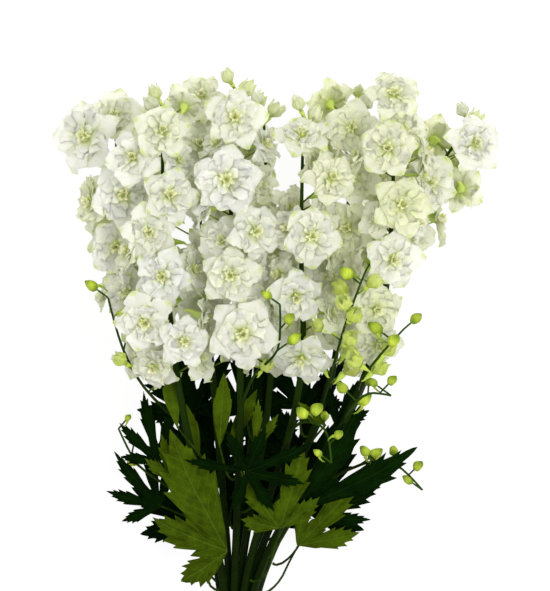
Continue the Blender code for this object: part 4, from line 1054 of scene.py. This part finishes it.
def petal_grid(draw, start, end, half_width, heights, cup, twist, ruffle, rows, columns):
    """A petal in floret radii, as a grid: X runs out along it, Y across it and Z off the floret's face."""
    u = np.sin(np.linspace(0.0, math.pi / 2, rows))[:, None] ** ROWS_TO_END
    v = np.linspace(-1.0, 1.0, columns)[None, :]
    phases = [draw.uniform(0.0, math.tau) for _ in range(5)]
    waves = draw.uniform(*RIM_WAVES) * math.tau * u
    side = np.sign(v)
    rags = np.array([[draw.uniform(-1.0, 1.0), 0.0, draw.uniform(-1.0, 1.0)] for _ in range(rows)])
    # the rim waves along both sides, and is ragged toward the petal's end
    rag = rags[:, (side[0] + 1).astype(int)] * rise(u, *RAGGED_PART) * np.abs(v) ** 3
    rim = 1.0 + RIM_DEPTH * np.sin(waves + phases[0] + 1.9 * side) * v**2 + RIM_DEPTH * rag
    # the petal widens from its foot and is round at its end, where it is also frilled
    narrowed = (1.0 - u**2.4) ** draw.uniform(*END_SHARPNESS)
    width = half_width * (FOOT_WIDTH + (1.0 - FOOT_WIDTH) * rise(u, 0.0, WIDENED_BY)) * narrowed + LEAST_WIDTH
    frill = FRILL_DEPTH * np.sin(5.0 * v + phases[4]) * rise(u, *FRILLED_PART) * (1.0 - u)
    x = start + (end - start) * (u + frill)
    # it arches, cups and twists, its sides ruffle more toward its end, and it has a fold along its middle
    low, middle, high, curl = heights
    z = low * (1.0 - u) ** 2 + 2.0 * middle * u * (1.0 - u) + high * u**2 + curl * u**5
    z = z + cup * width * v**2 + twist * width * v
    z = z + ruffle * v**2 * (0.2 + 0.8 * u) * np.sin(waves + phases[1] + 2.3 * side)
    z = z + 0.5 * ruffle * u**2 * np.sin(3.4 * v + phases[2]) * np.sin(2.0 * math.tau * u + phases[3])
    z = z - FOLD_DEPTH * half_width * bell(v, 0.0, FOLD_WIDTH) * np.sin(math.pi * u)
    return stacked(x, width * v * rim, z), u, v


def turned(points, turn):
    """Points turned about Z."""
    c, s = math.cos(turn), math.sin(turn)
    return points @ np.array(((c, s, 0.0), (-s, c, 0.0), (0.0, 0.0, 1.0)))


def placed(points, pose, scale):
    """Points of a floret's own space, put in the plan's."""
    matrix = np.array(pose)
    return np.asarray(points) * scale @ matrix[:3, :3].T + matrix[:3, 3]


def fine_tube(path, radii, sides, ridges=0, depth=0.0):
    """A closed tube along a path, with a middle point in each end, and the ring that each point is on."""
    path = np.array([tuple(p) for p in path])
    ways = np.gradient(path, axis=0)
    ways /= np.linalg.norm(ways, axis=1, keepdims=True)
    across = np.array((0.0, 0.0, 1.0) if np.abs(ways[:, 0]).max() > NEARLY_ALONG_X else (1.0, 0.0, 0.0))
    u = across - ways * (ways @ across)[:, None]
    u /= np.linalg.norm(u, axis=1, keepdims=True)
    v = np.cross(ways, u)
    turn = math.tau * np.arange(sides) / sides
    reach = np.asarray(radii, dtype=float)[:, None] * (1.0 + depth * np.cos(ridges * turn))[None, :]
    rings = path[:, None] + reach[..., None] * (
        u[:, None] * np.cos(turn)[None, :, None] + v[:, None] * np.sin(turn)[None, :, None])
    count = len(path) * sides
    around = grid_faces(len(path), sides, wrapped=True)[:, ::-1]
    k = np.arange(sides)
    after = (k + 1) % sides
    ends = [stacked(count, after, k), stacked(count + 1, count - sides + k, count - sides + after)]
    ring = np.concatenate((np.repeat(np.arange(len(path)), sides), [0, len(path) - 1]))
    return np.concatenate((rings.reshape(-1, 3), path[:1], path[-1:])), [around] + ends, ring


def add_tube(gathered, path, radii, sides, first_tint, last_tint, ridges=0, depth=0.0):
    """A tube whose tint runs from one colour to another."""
    points, faces, ring = fine_tube(path, radii, sides, ridges, depth)
    share = ring / (len(path) - 1)
    turn = np.concatenate((np.tile(np.arange(sides) / sides, len(path)), [0.0, 0.0]))
    places = stacked(turn, share * len(path), float(gathered.count % 97))
    gathered.add(points, faces, blended(first_tint, last_tint, share), places)


def add_smooth_tube(gathered, path, steps, radii, sides, tints, **ridges):
    """A tube round the smooth way through a path, with a radius and a tint for each of its ends."""
    fine = smooth_path(path, [steps] * (len(path) - 1))
    add_tube(gathered, fine, tapered(fine, *radii), sides, *tints, **ridges)


def floret_tone(middle, draw):
    """A floret's white. The right half of the bunch is creamier than the left, the tips are greener, and
    florets low in the bunch are dulled to olive by painted shade.
    """
    right = rise(middle.x, *CREAMY_FROM_X) * rise(-middle.x, *CREAMY_UNTIL_X)
    cream = min(1.0, draw.random() ** 1.6 * CREAM_SPREAD + CREAM_ON_THE_RIGHT * right)
    young = draw.random() ** 3.0 * YOUNG_SPREAD + YOUNG_AT_TIPS * rise(middle.y, *TIPS_FROM_Y) * draw.random()
    young = young + YOUNG_ON_THE_RIGHT * right * rise(middle.y, *RIGHT_TIPS_FROM_Y)
    white = blended(blended(COOL_WHITE, CREAM_WHITE, cream), YOUNG_GREEN, min(MOST_YOUNG, young))
    # painted shade: the lower a floret lies, the more olive it is
    return blended(white, OLIVE_PAINTED_SHADE, MOST_PAINTED_SHADE * rise(-middle.z, *PAINTED_SHADE_UNDER_Z))


def add_petal(gathered, pose, radius, draw, turn, form, grid_size, face_tint, back_tint):
    """One petal of a floret: a thin closed sheet, turned to its place round the floret's middle."""
    grid, u, v = petal_grid(draw, *form, *grid_size)
    points, faces = sheet_sides(grid, PETAL_THICKNESS)
    place = stacked(v, u, turn + gathered.count % 89)
    gathered.add(placed(turned(points, turn), pose, radius), faces,
                 both_sides(face_tint(u, v), back_tint(u, v)), both_sides(place, place))


def add_spur(gathered, pose, radius, white):
    """The hollow spur behind a floret, a little bent at its end."""
    path, radii = placed(SPUR_PATH, pose, radius), np.array(SPUR_RADII) * radius
    add_tube(gathered, path, radii, SPUR_SIDES, blended(white, SPUR_GREEN, 0.8), SPUR_GREEN)


def sepal_tints(white, green_tip, green_back):
    """How a sepal's colour runs over its face and over its back, from its foot to its tip."""

    def face(u, v):  # a green spot at the tip, a green foot and a faint midrib
        tip = 1.2 * green_tip * bell(u, 0.94, 0.07) * bell(v, 0.0, 0.9)
        # the green foot is partly the sepal's own green and partly painted shade deep in the floret
        foot_green_and_shade = 0.45 * (1.0 - rise(u, 0.0, 0.65)) + 0.10 * bell(v, 0.0, 0.2) * (1.0 - u)
        return blended(white, TIP_GREEN, np.clip(tip + foot_green_and_shade, 0.0, 0.9))

    def back(u, v):  # a green rib, a greener foot and the spot at the tip
        rib = 0.45 * bell(v, 0.0, 0.24) * (1.0 - 0.5 * u)
        # the greener foot of the back is partly its own green and partly painted shade deep in the floret
        foot_green_and_shade = 1.10 * (1.0 - rise(u, 0.0, 0.40))
        tip = green_tip * bell(u, 0.92, 0.09) * bell(v, 0.0, 0.7)
        return blended(white, TIP_GREEN, np.clip(green_back * (rib + foot_green_and_shade) + tip, 0.0, 0.95))

    return face, back


def fading_tint(tint, most, reach):
    """A tint that is greenest at a petal's foot and fades toward its end."""

    def at(u, v):
        return blended(tint, CROWN_GREEN, most * (1.0 - rise(u + 0.0 * v, 0.0, reach)))

    return at


def add_floret(gathered, plan):
    """One open floret: ruffled sepals in two rows, inner petals, a cream crown with anthers, and a spur."""
    pose, radius, seed = plan
    smallness, sideways = max(0.0, 1.0 - radius / FLORET_RADIUS), 1.0 - abs(pose.col[2][2])
    radius = radius * (FLORET_SWELL + SMALL_SWELL * smallness + SIDEWAYS_SWELL * sideways)
    draw = random.Random(seed)
    sepals = []
    for _ in range(PETALS):
        sepals.append((draw.uniform(*SEPAL_HEIGHT), draw.uniform(*SEPAL_REACH)))
        draw.uniform(*INNER_REACH)  # the solid's own draw, passed over so that the draws stay in step
    white = floret_tone(pose.translation, draw)
    spin = draw.choice((-1.0, 1.0)) * draw.uniform(*PETAL_TWIST)
    fullness = draw.uniform(*FULLNESS)
    sepal = sepal_tints(white, draw.uniform(*GREEN_TIP), draw.uniform(*GREEN_BACK))
    tints = {"second": sepal, "inner": [fading_tint(white, *INNER_FADE)] * 2,
             "crown": [fading_tint(CROWN_CREAM, *CROWN_FADE)] * 2}

    for i, (lift, length) in enumerate(sepals):
        heights = (SEPAL_FOOT, draw.uniform(*SEPAL_MIDDLE), lift, draw.uniform(*SEPAL_CURL))
        form = (SEPAL_START, length, draw.uniform(*SEPAL_HALF_WIDTH), heights,
                draw.uniform(*SEPAL_CUP), spin, draw.uniform(*SEPAL_RUFFLE))
        add_petal(gathered, pose, radius, draw, math.tau * i / PETALS, form, SEPAL_GRID, *sepal)
    for kind, count, start, end, half_width, middle, high, cup, ruffle, grid_size in FLORET_LAYERS:
        first = 0.5 if kind == "second" else draw.uniform(0.0, 1.0)
        for i in range(count):
            turn = math.tau * (i + first + draw.uniform(*LAYER_SWING)) / count
            heights = (LAYER_FOOT, draw.uniform(*middle), draw.uniform(*high), draw.uniform(*LAYER_CURL))
            form = (start, draw.uniform(*end) * fullness, draw.uniform(*half_width), heights,
                    draw.uniform(*cup), -spin, draw.uniform(*ruffle))
            add_petal(gathered, pose, radius, draw, turn, form, grid_size, *tints[kind])
    for i in range(ANTHERS):
        turn = math.tau * (i + draw.uniform(*ANTHER_SWING)) / ANTHERS
        out = draw.uniform(*ANTHER_REACH)
        height = draw.uniform(*ANTHER_HEIGHT)
        tip = np.array((out * math.cos(turn), out * math.sin(turn) + ANTHER_SHIFT, height))
        path = (tip * ANTHER_FOOT, tip - (0.0, 0.0, ANTHER_LENGTH), tip)
        brown = blended(CROWN_GREEN, ANTHER_BROWN, draw.random() ** 2)
        radii = np.array(ANTHER_RADII) * radius
        add_tube(gathered, placed(path, pose, radius), radii, ANTHER_SIDES, CROWN_CREAM, brown)
    throat = placed(THROAT_PATH, pose, radius)
    add_tube(gathered, throat, np.array(THROAT_RADII) * radius, SMALL_SIDES, THROAT_GREEN, CROWN_GREEN)
    add_spur(gathered, pose, radius, white)


def bud_draw(root):
    """The random draws of a bud, seeded by its place."""
    return random.Random(round(root.x * 1e6) + round(root.y * 1e5))


def add_open_bud(florets, greens, plan, pale, ripe):
    """A half open bud between two colours: sepals wrapped round an oval, apart at their tips, and a spur."""
    root, outward, stalk_length, radius = plan
    draw = bud_draw(root)
    foot = root + outward * stalk_length
    path = [root, root.lerp(foot, 0.5), foot]
    add_tube(greens, path, [FINE_STALK_RADIUS] * 3, SMALL_SIDES, STALK_GREEN, SPUR_GREEN * 0.7)
    side = outward.cross(Vector((draw.uniform(-1, 1), draw.uniform(-1, 1), 0.2))).normalized()
    pose = floret_pose(foot, outward, side)
    white = blended(pale, ripe, draw.uniform(*OPEN_BUD_RIPENESS))
    face, back = sepal_tints(white, draw.uniform(*OPEN_BUD_TIP), 1.0)
    u = np.linspace(0.0, 1.0, 10)[:, None]
    v = np.linspace(-1.0, 1.0, 9)[None, :]
    openness = draw.uniform(*OPEN_BUD_FLARE)
    # each sepal bulges to under its half, draws in or flares above it, and waves a little
    for i in range(PETALS):
        flare = openness * draw.uniform(*OPEN_SEPAL_FLARE)
        around = (0.25 + 0.85 * rise(u, 0.0, 0.45)) * (1.0 - (0.9 - flare) * rise(u, 0.45, 0.55))
        around = around * (1.0 + 0.10 * v + 0.06 * np.sin(9.0 * u + 5.0 * v + i))
        turn = math.tau * i / PETALS + v * (0.85 * (1.0 - u**3) ** 0.6 + 0.06)
        high = BUD_LENGTH * u * (draw.uniform(*OPEN_SEPAL_LENGTH) - 0.06 * np.abs(v)) + 0.10
        grid = stacked(around * np.cos(turn), around * np.sin(turn), high)
        points, faces = sheet_sides(grid, -OPEN_SEPAL_THICKNESS)
        place = stacked(v, u, 7.0 * i)
        florets.add(placed(points, pose, radius), [block[:, ::-1] for block in faces],
                    both_sides(back(u, v), face(u, v)), both_sides(place, place))
    add_spur(florets, pose, OPEN_BUD_SPUR * radius, white)


def add_bud(gathered, plan):
    """A ribbed bud on its stalk, dark at both ends, and on most of them a short curved spur."""
    root, outward, stalk_length, radius = plan
    draw = bud_draw(root)
    steps = np.concatenate((np.linspace(0.0, 0.9, 4), np.linspace(1.0, 2.0, 9)))
    lengths = np.where(steps < 1.0, steps * stalk_length, stalk_length + (steps - 1.0) * BUD_LENGTH * radius)
    share = np.clip(steps - 1.0, 0.0, 1.0)
    swell = np.sin(math.pi * share**0.80) ** 0.68
    radii = np.where(steps < 1.0, FINE_STALK_RADIUS, np.maximum(radius * swell, FINE_STALK_RADIUS * 0.8))
    path = [pressed(root + outward * length, radius) for length in lengths]
    points, faces, ring = fine_tube(path, radii, BUD_FINE_SIDES, BUD_RIDGES, BUD_RIDGE_DEPTH)
    tints = blended(BUD_GREEN, BUD_YELLOW * draw.uniform(0.8, 1.2), np.sin(math.pi * share[ring]) ** 1.2)
    tints[steps[ring] < 1.0] = STALK_GREEN
    gathered.add(points, faces, tints, stacked(points[:, 0] * 100.0, steps[ring], float(gathered.count % 83)))
    if draw.random() < BUDS_WITHOUT_SPUR:
        return
    side = outward.cross(Vector((draw.uniform(-1, 1), 0.3, draw.uniform(-1, 1)))).normalized()
    foot = root + outward * (stalk_length + BUD_SPUR_FOOT * radius)
    path = [foot + side * out * radius - outward * back * radius for out, back in BUD_SPUR_PATH]
    path = [pressed(p, radius) for p in path]
    add_tube(gathered, path, np.array(BUD_SPUR_RADII) * radius, SMALL_SIDES, BUD_YELLOW, BUD_GREEN)


def add_leaf(gathered, plan):
    """A leaf of one of the forms: lobes with teeth along both sides, spread from the leaf's joint."""
    name, joint = plan
    heading, lean, length, form, tone = LEAVES[name][3:]
    length = length * CM
    ahead, beside, normal = (np.array(way) for way in leaf_ways(math.radians(heading), lean))
    outline = LOBE_OUTLINE if len(LEAF_FORMS[form]) > 1 else LANCE_OUTLINE
    notches = leaf_notches(form)
    draw = random.Random("leaf " + name)
    columns = []
    for lobe, (right, in_right), (left, in_left) in zip(LEAF_FORMS[form], notches, notches[1:]):
        turn, reach, half_width, _ = lobe
        turn = math.radians(turn)
        reach = length * reach * draw.uniform(*LOBE_LENGTHS)
        wave = draw.uniform(-LOBE_WAVE, LOBE_WAVE)
        along, aside = outline[:, 0] * reach, outline[:, 1] * half_width * length
        offset, out = np.arctan2(aside, along), np.hypot(along, aside)
        if not columns:
            columns.append((right, in_right * length, turn - right, 0.0))
        columns += zip(turn - offset, out, offset, wave * outline[:, 1])
        columns += list(zip(turn + offset, out, offset, -wave * outline[:, 1]))[-2::-1]
        columns.append((left, in_left * length, left - turn, 0.0))
    turns, reaches, offsets, waves = np.array(columns).T
    # the blade arches, rises from each rib to its sides, and waves at the rim and from the joint outward
    f = LEAF_ROWS[:, None]
    r = f * reaches
    share = r / length
    aside = r * np.sin(np.abs(offsets))
    column = np.arange(len(turns))
    z = length * (ARCH_RISE * share + ARCH_FALL * share**2) + LEAF_FOLD * aside + length * f**2 * waves
    z = z + RIM_WAVE * length * f**3 * np.sin(1.15 * column + draw.uniform(0.0, math.tau))
    z = z + BLADE_WAVE * length * share * np.sin(7.0 * share + draw.uniform(0.0, math.tau) + 2.0 * turns)
    spots = (np.array(joint) + (r * np.cos(turns))[..., None] * ahead
             + (r * np.sin(turns))[..., None] * beside + z[..., None] * normal)
    points, faces = sheet_sides(spots, LEAF_THICKNESS)
    place = stacked(aside / length, share, column / 7.0)
    places = both_sides(place, place)
    # painted light and shade: each leaf is lighter toward its tips and darker toward its joint inside the
    # bunch, times a random tone of its own
    light = np.clip(0.8 + 0.45 * places[:, 1:2], 0.7, 1.3) * draw.uniform(0.85, 1.15)
    gathered.add(points, faces, LEAF_TONES[tone] * light, places)


def add_band(gathered, side):
    """One turn of the tie round the stems: a flat closed band, beside its neighbours along the stems."""
    stems = tied_stems()
    half_width = BAND_WIDTH * TIE_WIDTH / TIE_TURNS
    ring = []
    for k in range(BAND_POINTS):
        turn = math.tau * k / BAND_POINTS
        way = out_of_bundle(turn)
        furthest = max(way.dot(stem) for stem in stems)
        outer = [stem for stem in stems if way.dot(stem) > furthest - SAME_REACH]
        middle = sum(outer, Vector()) / len(outer)
        middle = middle + way * (furthest + STEM_RADIUS + SEAT_GAP + TIE_THICKNESS / 2 - way.dot(middle))
        middle = middle + BUNDLE_ALONG * (side + BAND_WANDER * math.sin(3.0 * turn + 40 * side))
        for j in range(BAND_SECTION):
            spin = math.tau * j / BAND_SECTION
            flat = math.copysign(abs(math.cos(spin)) ** 0.5, math.cos(spin))
            ring.append(middle + BUNDLE_ALONG * (half_width * flat)
                        + way * (BAND_HALF_THICKNESS * TIE_THICKNESS * math.sin(spin)))
    spots = np.array([tuple(p) for p in ring])
    faces = grid_faces(BAND_POINTS, BAND_SECTION, wrapped=True)
    last = grid_faces(2, BAND_SECTION, wrapped=True)
    last = np.where(last < BAND_SECTION, last + (BAND_POINTS - 1) * BAND_SECTION, last - BAND_SECTION)
    turn = np.repeat(np.arange(BAND_POINTS) / BAND_POINTS, BAND_SECTION)
    places = stacked(np.tile(np.arange(BAND_SECTION) / BAND_SECTION, BAND_POINTS), turn * 40.0, side * 100)
    gathered.add(spots, [faces, last], TIE_TAN, places)


def add_cut_face(gathered, stem):
    """The pale cut end of a stem, with its pith."""
    way = (stem[1] - stem[0]).normalized()
    for width, proud, tint in CUT_RINGS:
        ends = [stem[0] - way * proud, stem[0] + way * CUT_FACE_DEPTH]
        add_tube(gathered, ends, [STEM_RADIUS * width] * 2, STEM_FINE_SIDES, tint, tint)


class Nodes:
    """A short way to write a material's node tree."""

    def __init__(self, name):
        self.material = bpy.data.materials.new(name)
        self.material.use_nodes = True
        self.tree = self.material.node_tree
        self.shader = self.tree.nodes["Principled BSDF"]
        self.here = self.add("TexCoord").outputs["Object"]
        self.tint = self.add("Attribute", attribute_name="tint").outputs["Color"]
        self.place = self.add("Attribute", attribute_name="place").outputs["Vector"]

    def add(self, kind, inputs=None, **settings):
        """A node with its settings, and its inputs by name or number."""
        node = self.tree.nodes.new("ShaderNode" + kind)
        for key, value in settings.items():
            setattr(node, key, value)
        return self.put(node, inputs or {})

    def put(self, node, inputs):
        """Give a node its inputs, as values or as other nodes' outputs."""
        for key, value in inputs.items():
            if isinstance(value, bpy.types.NodeSocket):
                self.tree.links.new(value, node.inputs[key])
            else:
                node.inputs[key].default_value = value
        return node

    def math(self, operation, a, b=0.0):
        """The result of one sum."""
        return self.add("Math", {0: a, 1: b}, operation=operation).outputs[0]

    def span(self, value, low, high, to_low, to_high):
        """A value moved from one range to another and kept inside it."""
        return self.add("MapRange", {0: value, 1: low, 2: high, 3: to_low, 4: to_high}).outputs[0]

    def noise(self, vector, scale, detail):
        """Cloudy noise over a vector."""
        settings = {"Vector": vector, "Scale": scale, "Detail": detail, "Roughness": 0.55}
        return self.add("TexNoise", settings).outputs[0]

    def streaks(self, stretch, scale, detail):
        """Noise over the places on the surface, drawn out along it."""
        stretched = self.add("Mapping", {"Vector": self.place, "Scale": stretch})
        return self.noise(stretched.outputs[0], scale, detail)

    def mixed(self, share, a, b, blend="MIX"):
        """Two colours mixed by a share."""
        return self.add("Mix", {0: share, 6: a, 7: b}, data_type="RGBA", blend_type=blend).outputs[2]

    def shaded(self, shade, blue=None):
        """The tint of each point, made darker or lighter by a shade."""
        blue = shade if blue is None else blue
        grey = self.add("CombineColor", {"Red": shade, "Green": shade, "Blue": blue}).outputs[0]
        return self.mixed(1.0, self.tint, grey, "MULTIPLY")

    def bump(self, height, strength, distance):
        """A bumped normal."""
        return self.add("Bump", {"Height": height, "Strength": strength, "Distance": distance}).outputs[0]

    def surface(self, inputs):
        """The material, with these inputs of its shader."""
        self.put(self.shader, inputs)
        return self.material


def petal_material():
    """White petals: fine veins that run out along them, a faint mottle, a soft sheen and a faint painted glow
    that lifts their shade.
    """
    made = Nodes("white_petal")
    veins = made.streaks((7.0, 1.1, 3.7), 2.2, 4.0)
    mottle = made.noise(made.here, 240.0, 2.0)
    streaked, mottled = made.span(veins, 0.36, 0.62, 0.94, 1.0), made.span(mottle, 0.3, 0.7, 0.98, 1.0)
    shade = made.math("MULTIPLY", streaked, mottled)
    height = made.math("ADD", made.math("MULTIPLY", veins, 0.8), made.math("MULTIPLY", mottle, 0.3))
    return made.surface({
        "Base Color": made.shaded(shade, made.math("POWER", shade, 1.6)),
        "Roughness": made.span(veins, 0.3, 0.7, 0.42, 0.62),
        "Specular IOR Level": 0.25,
        "Subsurface Weight": 0.7,
        "Subsurface Radius": (1.0, 1.0, 0.9),
        "Subsurface Scale": 0.006,
        # painted glow: a faint light of the petals' own, which lifts the shade between them
        "Emission Color": (0.86, 0.95, 0.62, 1.0),
        "Emission Strength": PAINTED_PETAL_GLOW,
        "Normal": made.bump(height, 0.2, 0.0006),
    })


def green_material():
    """Stems, stalks and buds: streaks along them, a waxy surface and a faint bloom."""
    made = Nodes("green_stem")
    streaks = made.streaks((22.0, 0.35, 1.0), 1.6, 3.0)
    mottle = made.noise(made.here, 380.0, 3.0)
    streaked, mottled = made.span(streaks, 0.35, 0.65, 0.72, 1.18), made.span(mottle, 0.3, 0.7, 0.86, 1.1)
    return made.surface({
        "Base Color": made.shaded(made.math("MULTIPLY", streaked, mottled)),
        "Roughness": made.span(mottle, 0.3, 0.7, 0.36, 0.58),
        "Specular IOR Level": 0.03,
        "Normal": made.bump(made.math("ADD", streaks, made.math("MULTIPLY", mottle, 0.5)), 0.3, 0.0005),
    })


def leaf_material(name, vein_tint, gloss):
    """A leaf: a pale rib in each lobe, side veins that run forward from it, and a fine net between them."""
    made = Nodes(name)
    split = made.add("SeparateXYZ", {"Vector": made.place})
    aside, along = split.outputs[0], split.outputs[1]
    wander = made.math("MULTIPLY", made.math("SUBTRACT", made.noise(made.here, 60.0, 2.0), 0.5), 0.06)
    path = made.math("ADD", made.math("SUBTRACT", along, made.math("MULTIPLY", aside, 1.5)), wander)
    wave = made.math("ABSOLUTE", made.math("SINE", made.math("MULTIPLY", path, 38.0)))
    rib, side_veins = made.span(aside, 0.001, 0.008, 0.8, 0.0), made.span(wave, 0.0, 0.22, 0.75, 0.0)
    veins = made.math("MAXIMUM", rib, side_veins)
    net = made.add("TexVoronoi", {"Vector": made.here, "Scale": 520.0}, feature="DISTANCE_TO_EDGE").outputs[0]
    mottle = made.noise(made.here, 90.0, 4.0)
    mottled, netted = made.span(mottle, 0.3, 0.7, 0.62, 1.38), made.span(net, 0.0, 0.12, 1.12, 1.0)
    blade = made.shaded(made.math("MULTIPLY", mottled, netted))
    height = made.math("ADD", made.math("MULTIPLY", veins, -1.0), made.span(net, 0.0, 0.2, 0.0, 0.6))
    return made.surface({
        "Base Color": made.mixed(made.math("MULTIPLY", veins, 0.5), blade, vein_tint),
        "Roughness": made.span(mottle, 0.3, 0.7, gloss, gloss + 0.2),
        "Specular IOR Level": 0.01,
        "Normal": made.bump(height, 0.5, 0.0006),
    })


def tie_material():
    """Natural raffia: fibres that run round the band, light and dark."""
    made = Nodes("raffia_tie")
    fibres = made.streaks((26.0, 0.6, 1.0), 1.5, 4.0)
    return made.surface({
        "Base Color": made.shaded(made.span(fibres, 0.32, 0.68, 0.6, 1.25)),
        "Roughness": made.span(fibres, 0.3, 0.7, 0.6, 0.85),
        "Normal": made.bump(fibres, 0.6, 0.0005),
    })


def floor_material():
    """A plain pale floor that takes soft shadows."""
    return Nodes("pale_floor").surface({
        "Base Color": (0.15, 0.15, 0.15, 1.0),
        "Roughness": 0.9,
        "Specular IOR Level": 0.1,
        "Emission Color": (1.0, 1.0, 1.0, 1.0),
        "Emission Strength": FLOOR_GLOW,
    })


def declare(piece, node):
    """Hang a piece on the root body and hide the part's node that it stands in for."""
    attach(piece, "root")
    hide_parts(node)


def spike_pieces(name, owned, petal, green, shift):
    """The florets and buds of one spike, and its green axis and stalks."""
    florets, greens = Gathered(), Gathered()
    for solid in owned[name]:
        if solid.kind == "axis":
            radii = SPIKE_FOOT_RADIUS, SPIKE_TIP_RADIUS
            tints = STEM_LIGHT, STALK_GREEN
            add_smooth_tube(greens, solid.plan, STEM_RINGS, radii, STEM_FINE_SIDES, tints, **RIDGED)
        elif solid.kind == "bud":
            add_open_bud(florets, greens, solid.plan, COOL_WHITE, YOUNG_GREEN)
        elif solid.kind == "floret":
            add_floret(florets, solid.plan)
        else:
            radii = FINE_STALK_RADIUS, FINE_STALK_RADIUS
            tints = STALK_GREEN, SPUR_GREEN * 0.8
            add_smooth_tube(greens, solid.plan, STALK_RINGS, radii, SMALL_SIDES, tints)
    declare(florets.piece("florets_" + name, petal, shift), "spike_" + name)
    declare(greens.piece("spike_greens_" + name, green, shift), "spike_" + name)


def stem_pieces(name, owned, petal, green, shift):
    """One stem with its cut face and side shoots, and the half open buds on them."""
    stem, opening = Gathered(), Gathered()
    for solid in owned["stem_" + name]:
        if solid.kind == "axis":
            path = [p.copy() for p in solid.plan]
            path[-1] += (path[-1] - path[-2]).normalized() * SEAM_COVER
            radii = STEM_RADIUS, SPIKE_FOOT_RADIUS
            tints = STEM_GREEN, STEM_LIGHT
            add_smooth_tube(stem, path, STEM_RINGS, radii, STEM_FINE_SIDES, tints, **RIDGED)
            add_cut_face(stem, path)
        elif solid.kind == "twig":
            radii = SHOOT_ROOT_RADIUS, SHOOT_TIP_RADIUS
            add_smooth_tube(stem, solid.plan, TWIG_RINGS, radii, TWIG_SIDES, (STEM_LIGHT, STALK_GREEN))
        elif solid.plan[3] > OPEN_BUD_RADIUS:
            add_open_bud(opening, stem, solid.plan, OPENING_PALE, OPENING_GREEN)
        else:
            add_bud(stem, solid.plan)
    declare(stem.piece("stem_greens_" + name, green, shift), "stem_" + name)
    if opening.count:
        declare(opening.piece("half_open_" + name, petal, shift), "stem_" + name)


def make_pieces(shift):
    """All the fine pieces of the bunch."""
    owned = grow_plan()
    petal, green = petal_material(), green_material()
    # the dark leaf material is a copy of the olive one with painted shade
    leaf = {tone: leaf_material(tone + "_leaf", *looks) for tone, looks in LEAF_LOOKS.items()}
    for name in PLANTS:
        spike_pieces(name, owned, petal, green, shift)
        stem_pieces(name, owned, petal, green, shift)
    for name, (*_, tone) in LEAVES.items():
        blade = Gathered()
        plate, stalk = owned["leaf_" + name]
        add_leaf(blade, plate.plan)
        radii = LEAF_STALK_RADIUS, LEAF_STALK_RADIUS * LEAF_STALK_TOP
        tints = LEAF_STALK_GREEN, LEAF_STALK_GREEN * 0.9
        add_smooth_tube(blade, stalk.plan, LEAF_STALK_RINGS, radii, TWIG_SIDES, tints)
        declare(blade.piece("blade_" + name, leaf[tone], shift), "leaf_" + name)
    band = Gathered()
    for k in range(TIE_TURNS):
        add_band(band, (k - (TIE_TURNS - 1) / 2) * TIE_WIDTH / TIE_TURNS)
    declare(band.piece("raffia_band", tie_material(), shift), "tie")


# The photograph's frame, in centimetres of the plan, and the camera's distance from the middle of the bunch
VIEW_MIDDLE = (-0.64, 41.2, 10.0)
VIEW_HEIGHT = 54.4
VIEW_DISTANCE = 2.3
SENSOR_HEIGHT = 24.0

# The floor, the sky and the lamps: name, place, size, power and colour
FLOOR_SIZE = 8.0
FLOOR_DROP = 0.0003
FLOOR_GLOW = 0.90
SKY_COLOUR = (0.99, 0.99, 1.0, 1.0)
WORLD_STRENGTH = 0.60
LIT_POINT = (0.0, 0.05, 0.1)
LAMPS = (
    ("key_light", (-0.9, 1.1, 2.2), 0.8, 12.0, (1.0, 0.99, 0.97)),
    ("front_light", (0.8, 0.0, 2.3), 1.0, 28.0, (1.0, 1.0, 1.0)),
)


def make_floor():
    """A pale floor just under the bunch."""
    half = FLOOR_SIZE / 2
    corners = [(x, y, -FLOOR_DROP) for x, y in ((-half, -half), (half, -half), (half, half), (-half, half))]
    mesh = bpy.data.meshes.new("pale_floor")
    mesh.from_pydata(corners, [], [(0, 1, 2, 3)])
    mesh.materials.append(floor_material())
    in_scene("pale_floor", mesh)


def make_light():
    """An even pale sky and two large soft lamps."""
    world = bpy.data.worlds.new("soft_studio")
    world.use_nodes = True
    sky = world.node_tree.nodes["Background"]
    sky.inputs["Color"].default_value = SKY_COLOUR
    sky.inputs["Strength"].default_value = WORLD_STRENGTH
    bpy.context.scene.world = world
    for name, place, size, power, colour in LAMPS:
        lamp = bpy.data.lights.new(name, "AREA")
        lamp.shape, lamp.size, lamp.energy, lamp.color = "DISK", size, power, colour
        made = in_scene(name, lamp)
        made.location = place
        made.rotation_euler = (Vector(LIT_POINT) - Vector(place)).to_track_quat("-Z", "Y").to_euler()


def make_camera(shift):
    """The camera that looks straight down on the photograph's frame."""
    scene = bpy.context.scene
    lens = bpy.data.cameras.new("camera")
    lens.sensor_fit = "VERTICAL"
    lens.sensor_height = SENSOR_HEIGHT
    lens.lens = SENSOR_HEIGHT * VIEW_DISTANCE / (VIEW_HEIGHT * CM)
    scene.camera = in_scene("camera", lens)
    scene.camera.location = Vector(VIEW_MIDDLE) * CM + Vector(shift) + Vector((0.0, 0.0, VIEW_DISTANCE))
    scene.view_settings.view_transform = "Standard"
    scene.view_settings.look = "None"
    scene.view_settings.exposure = 0.0


plan_to_frame = plan_shift()
make_pieces(plan_to_frame)
make_floor()
make_light()
make_camera(plan_to_frame)
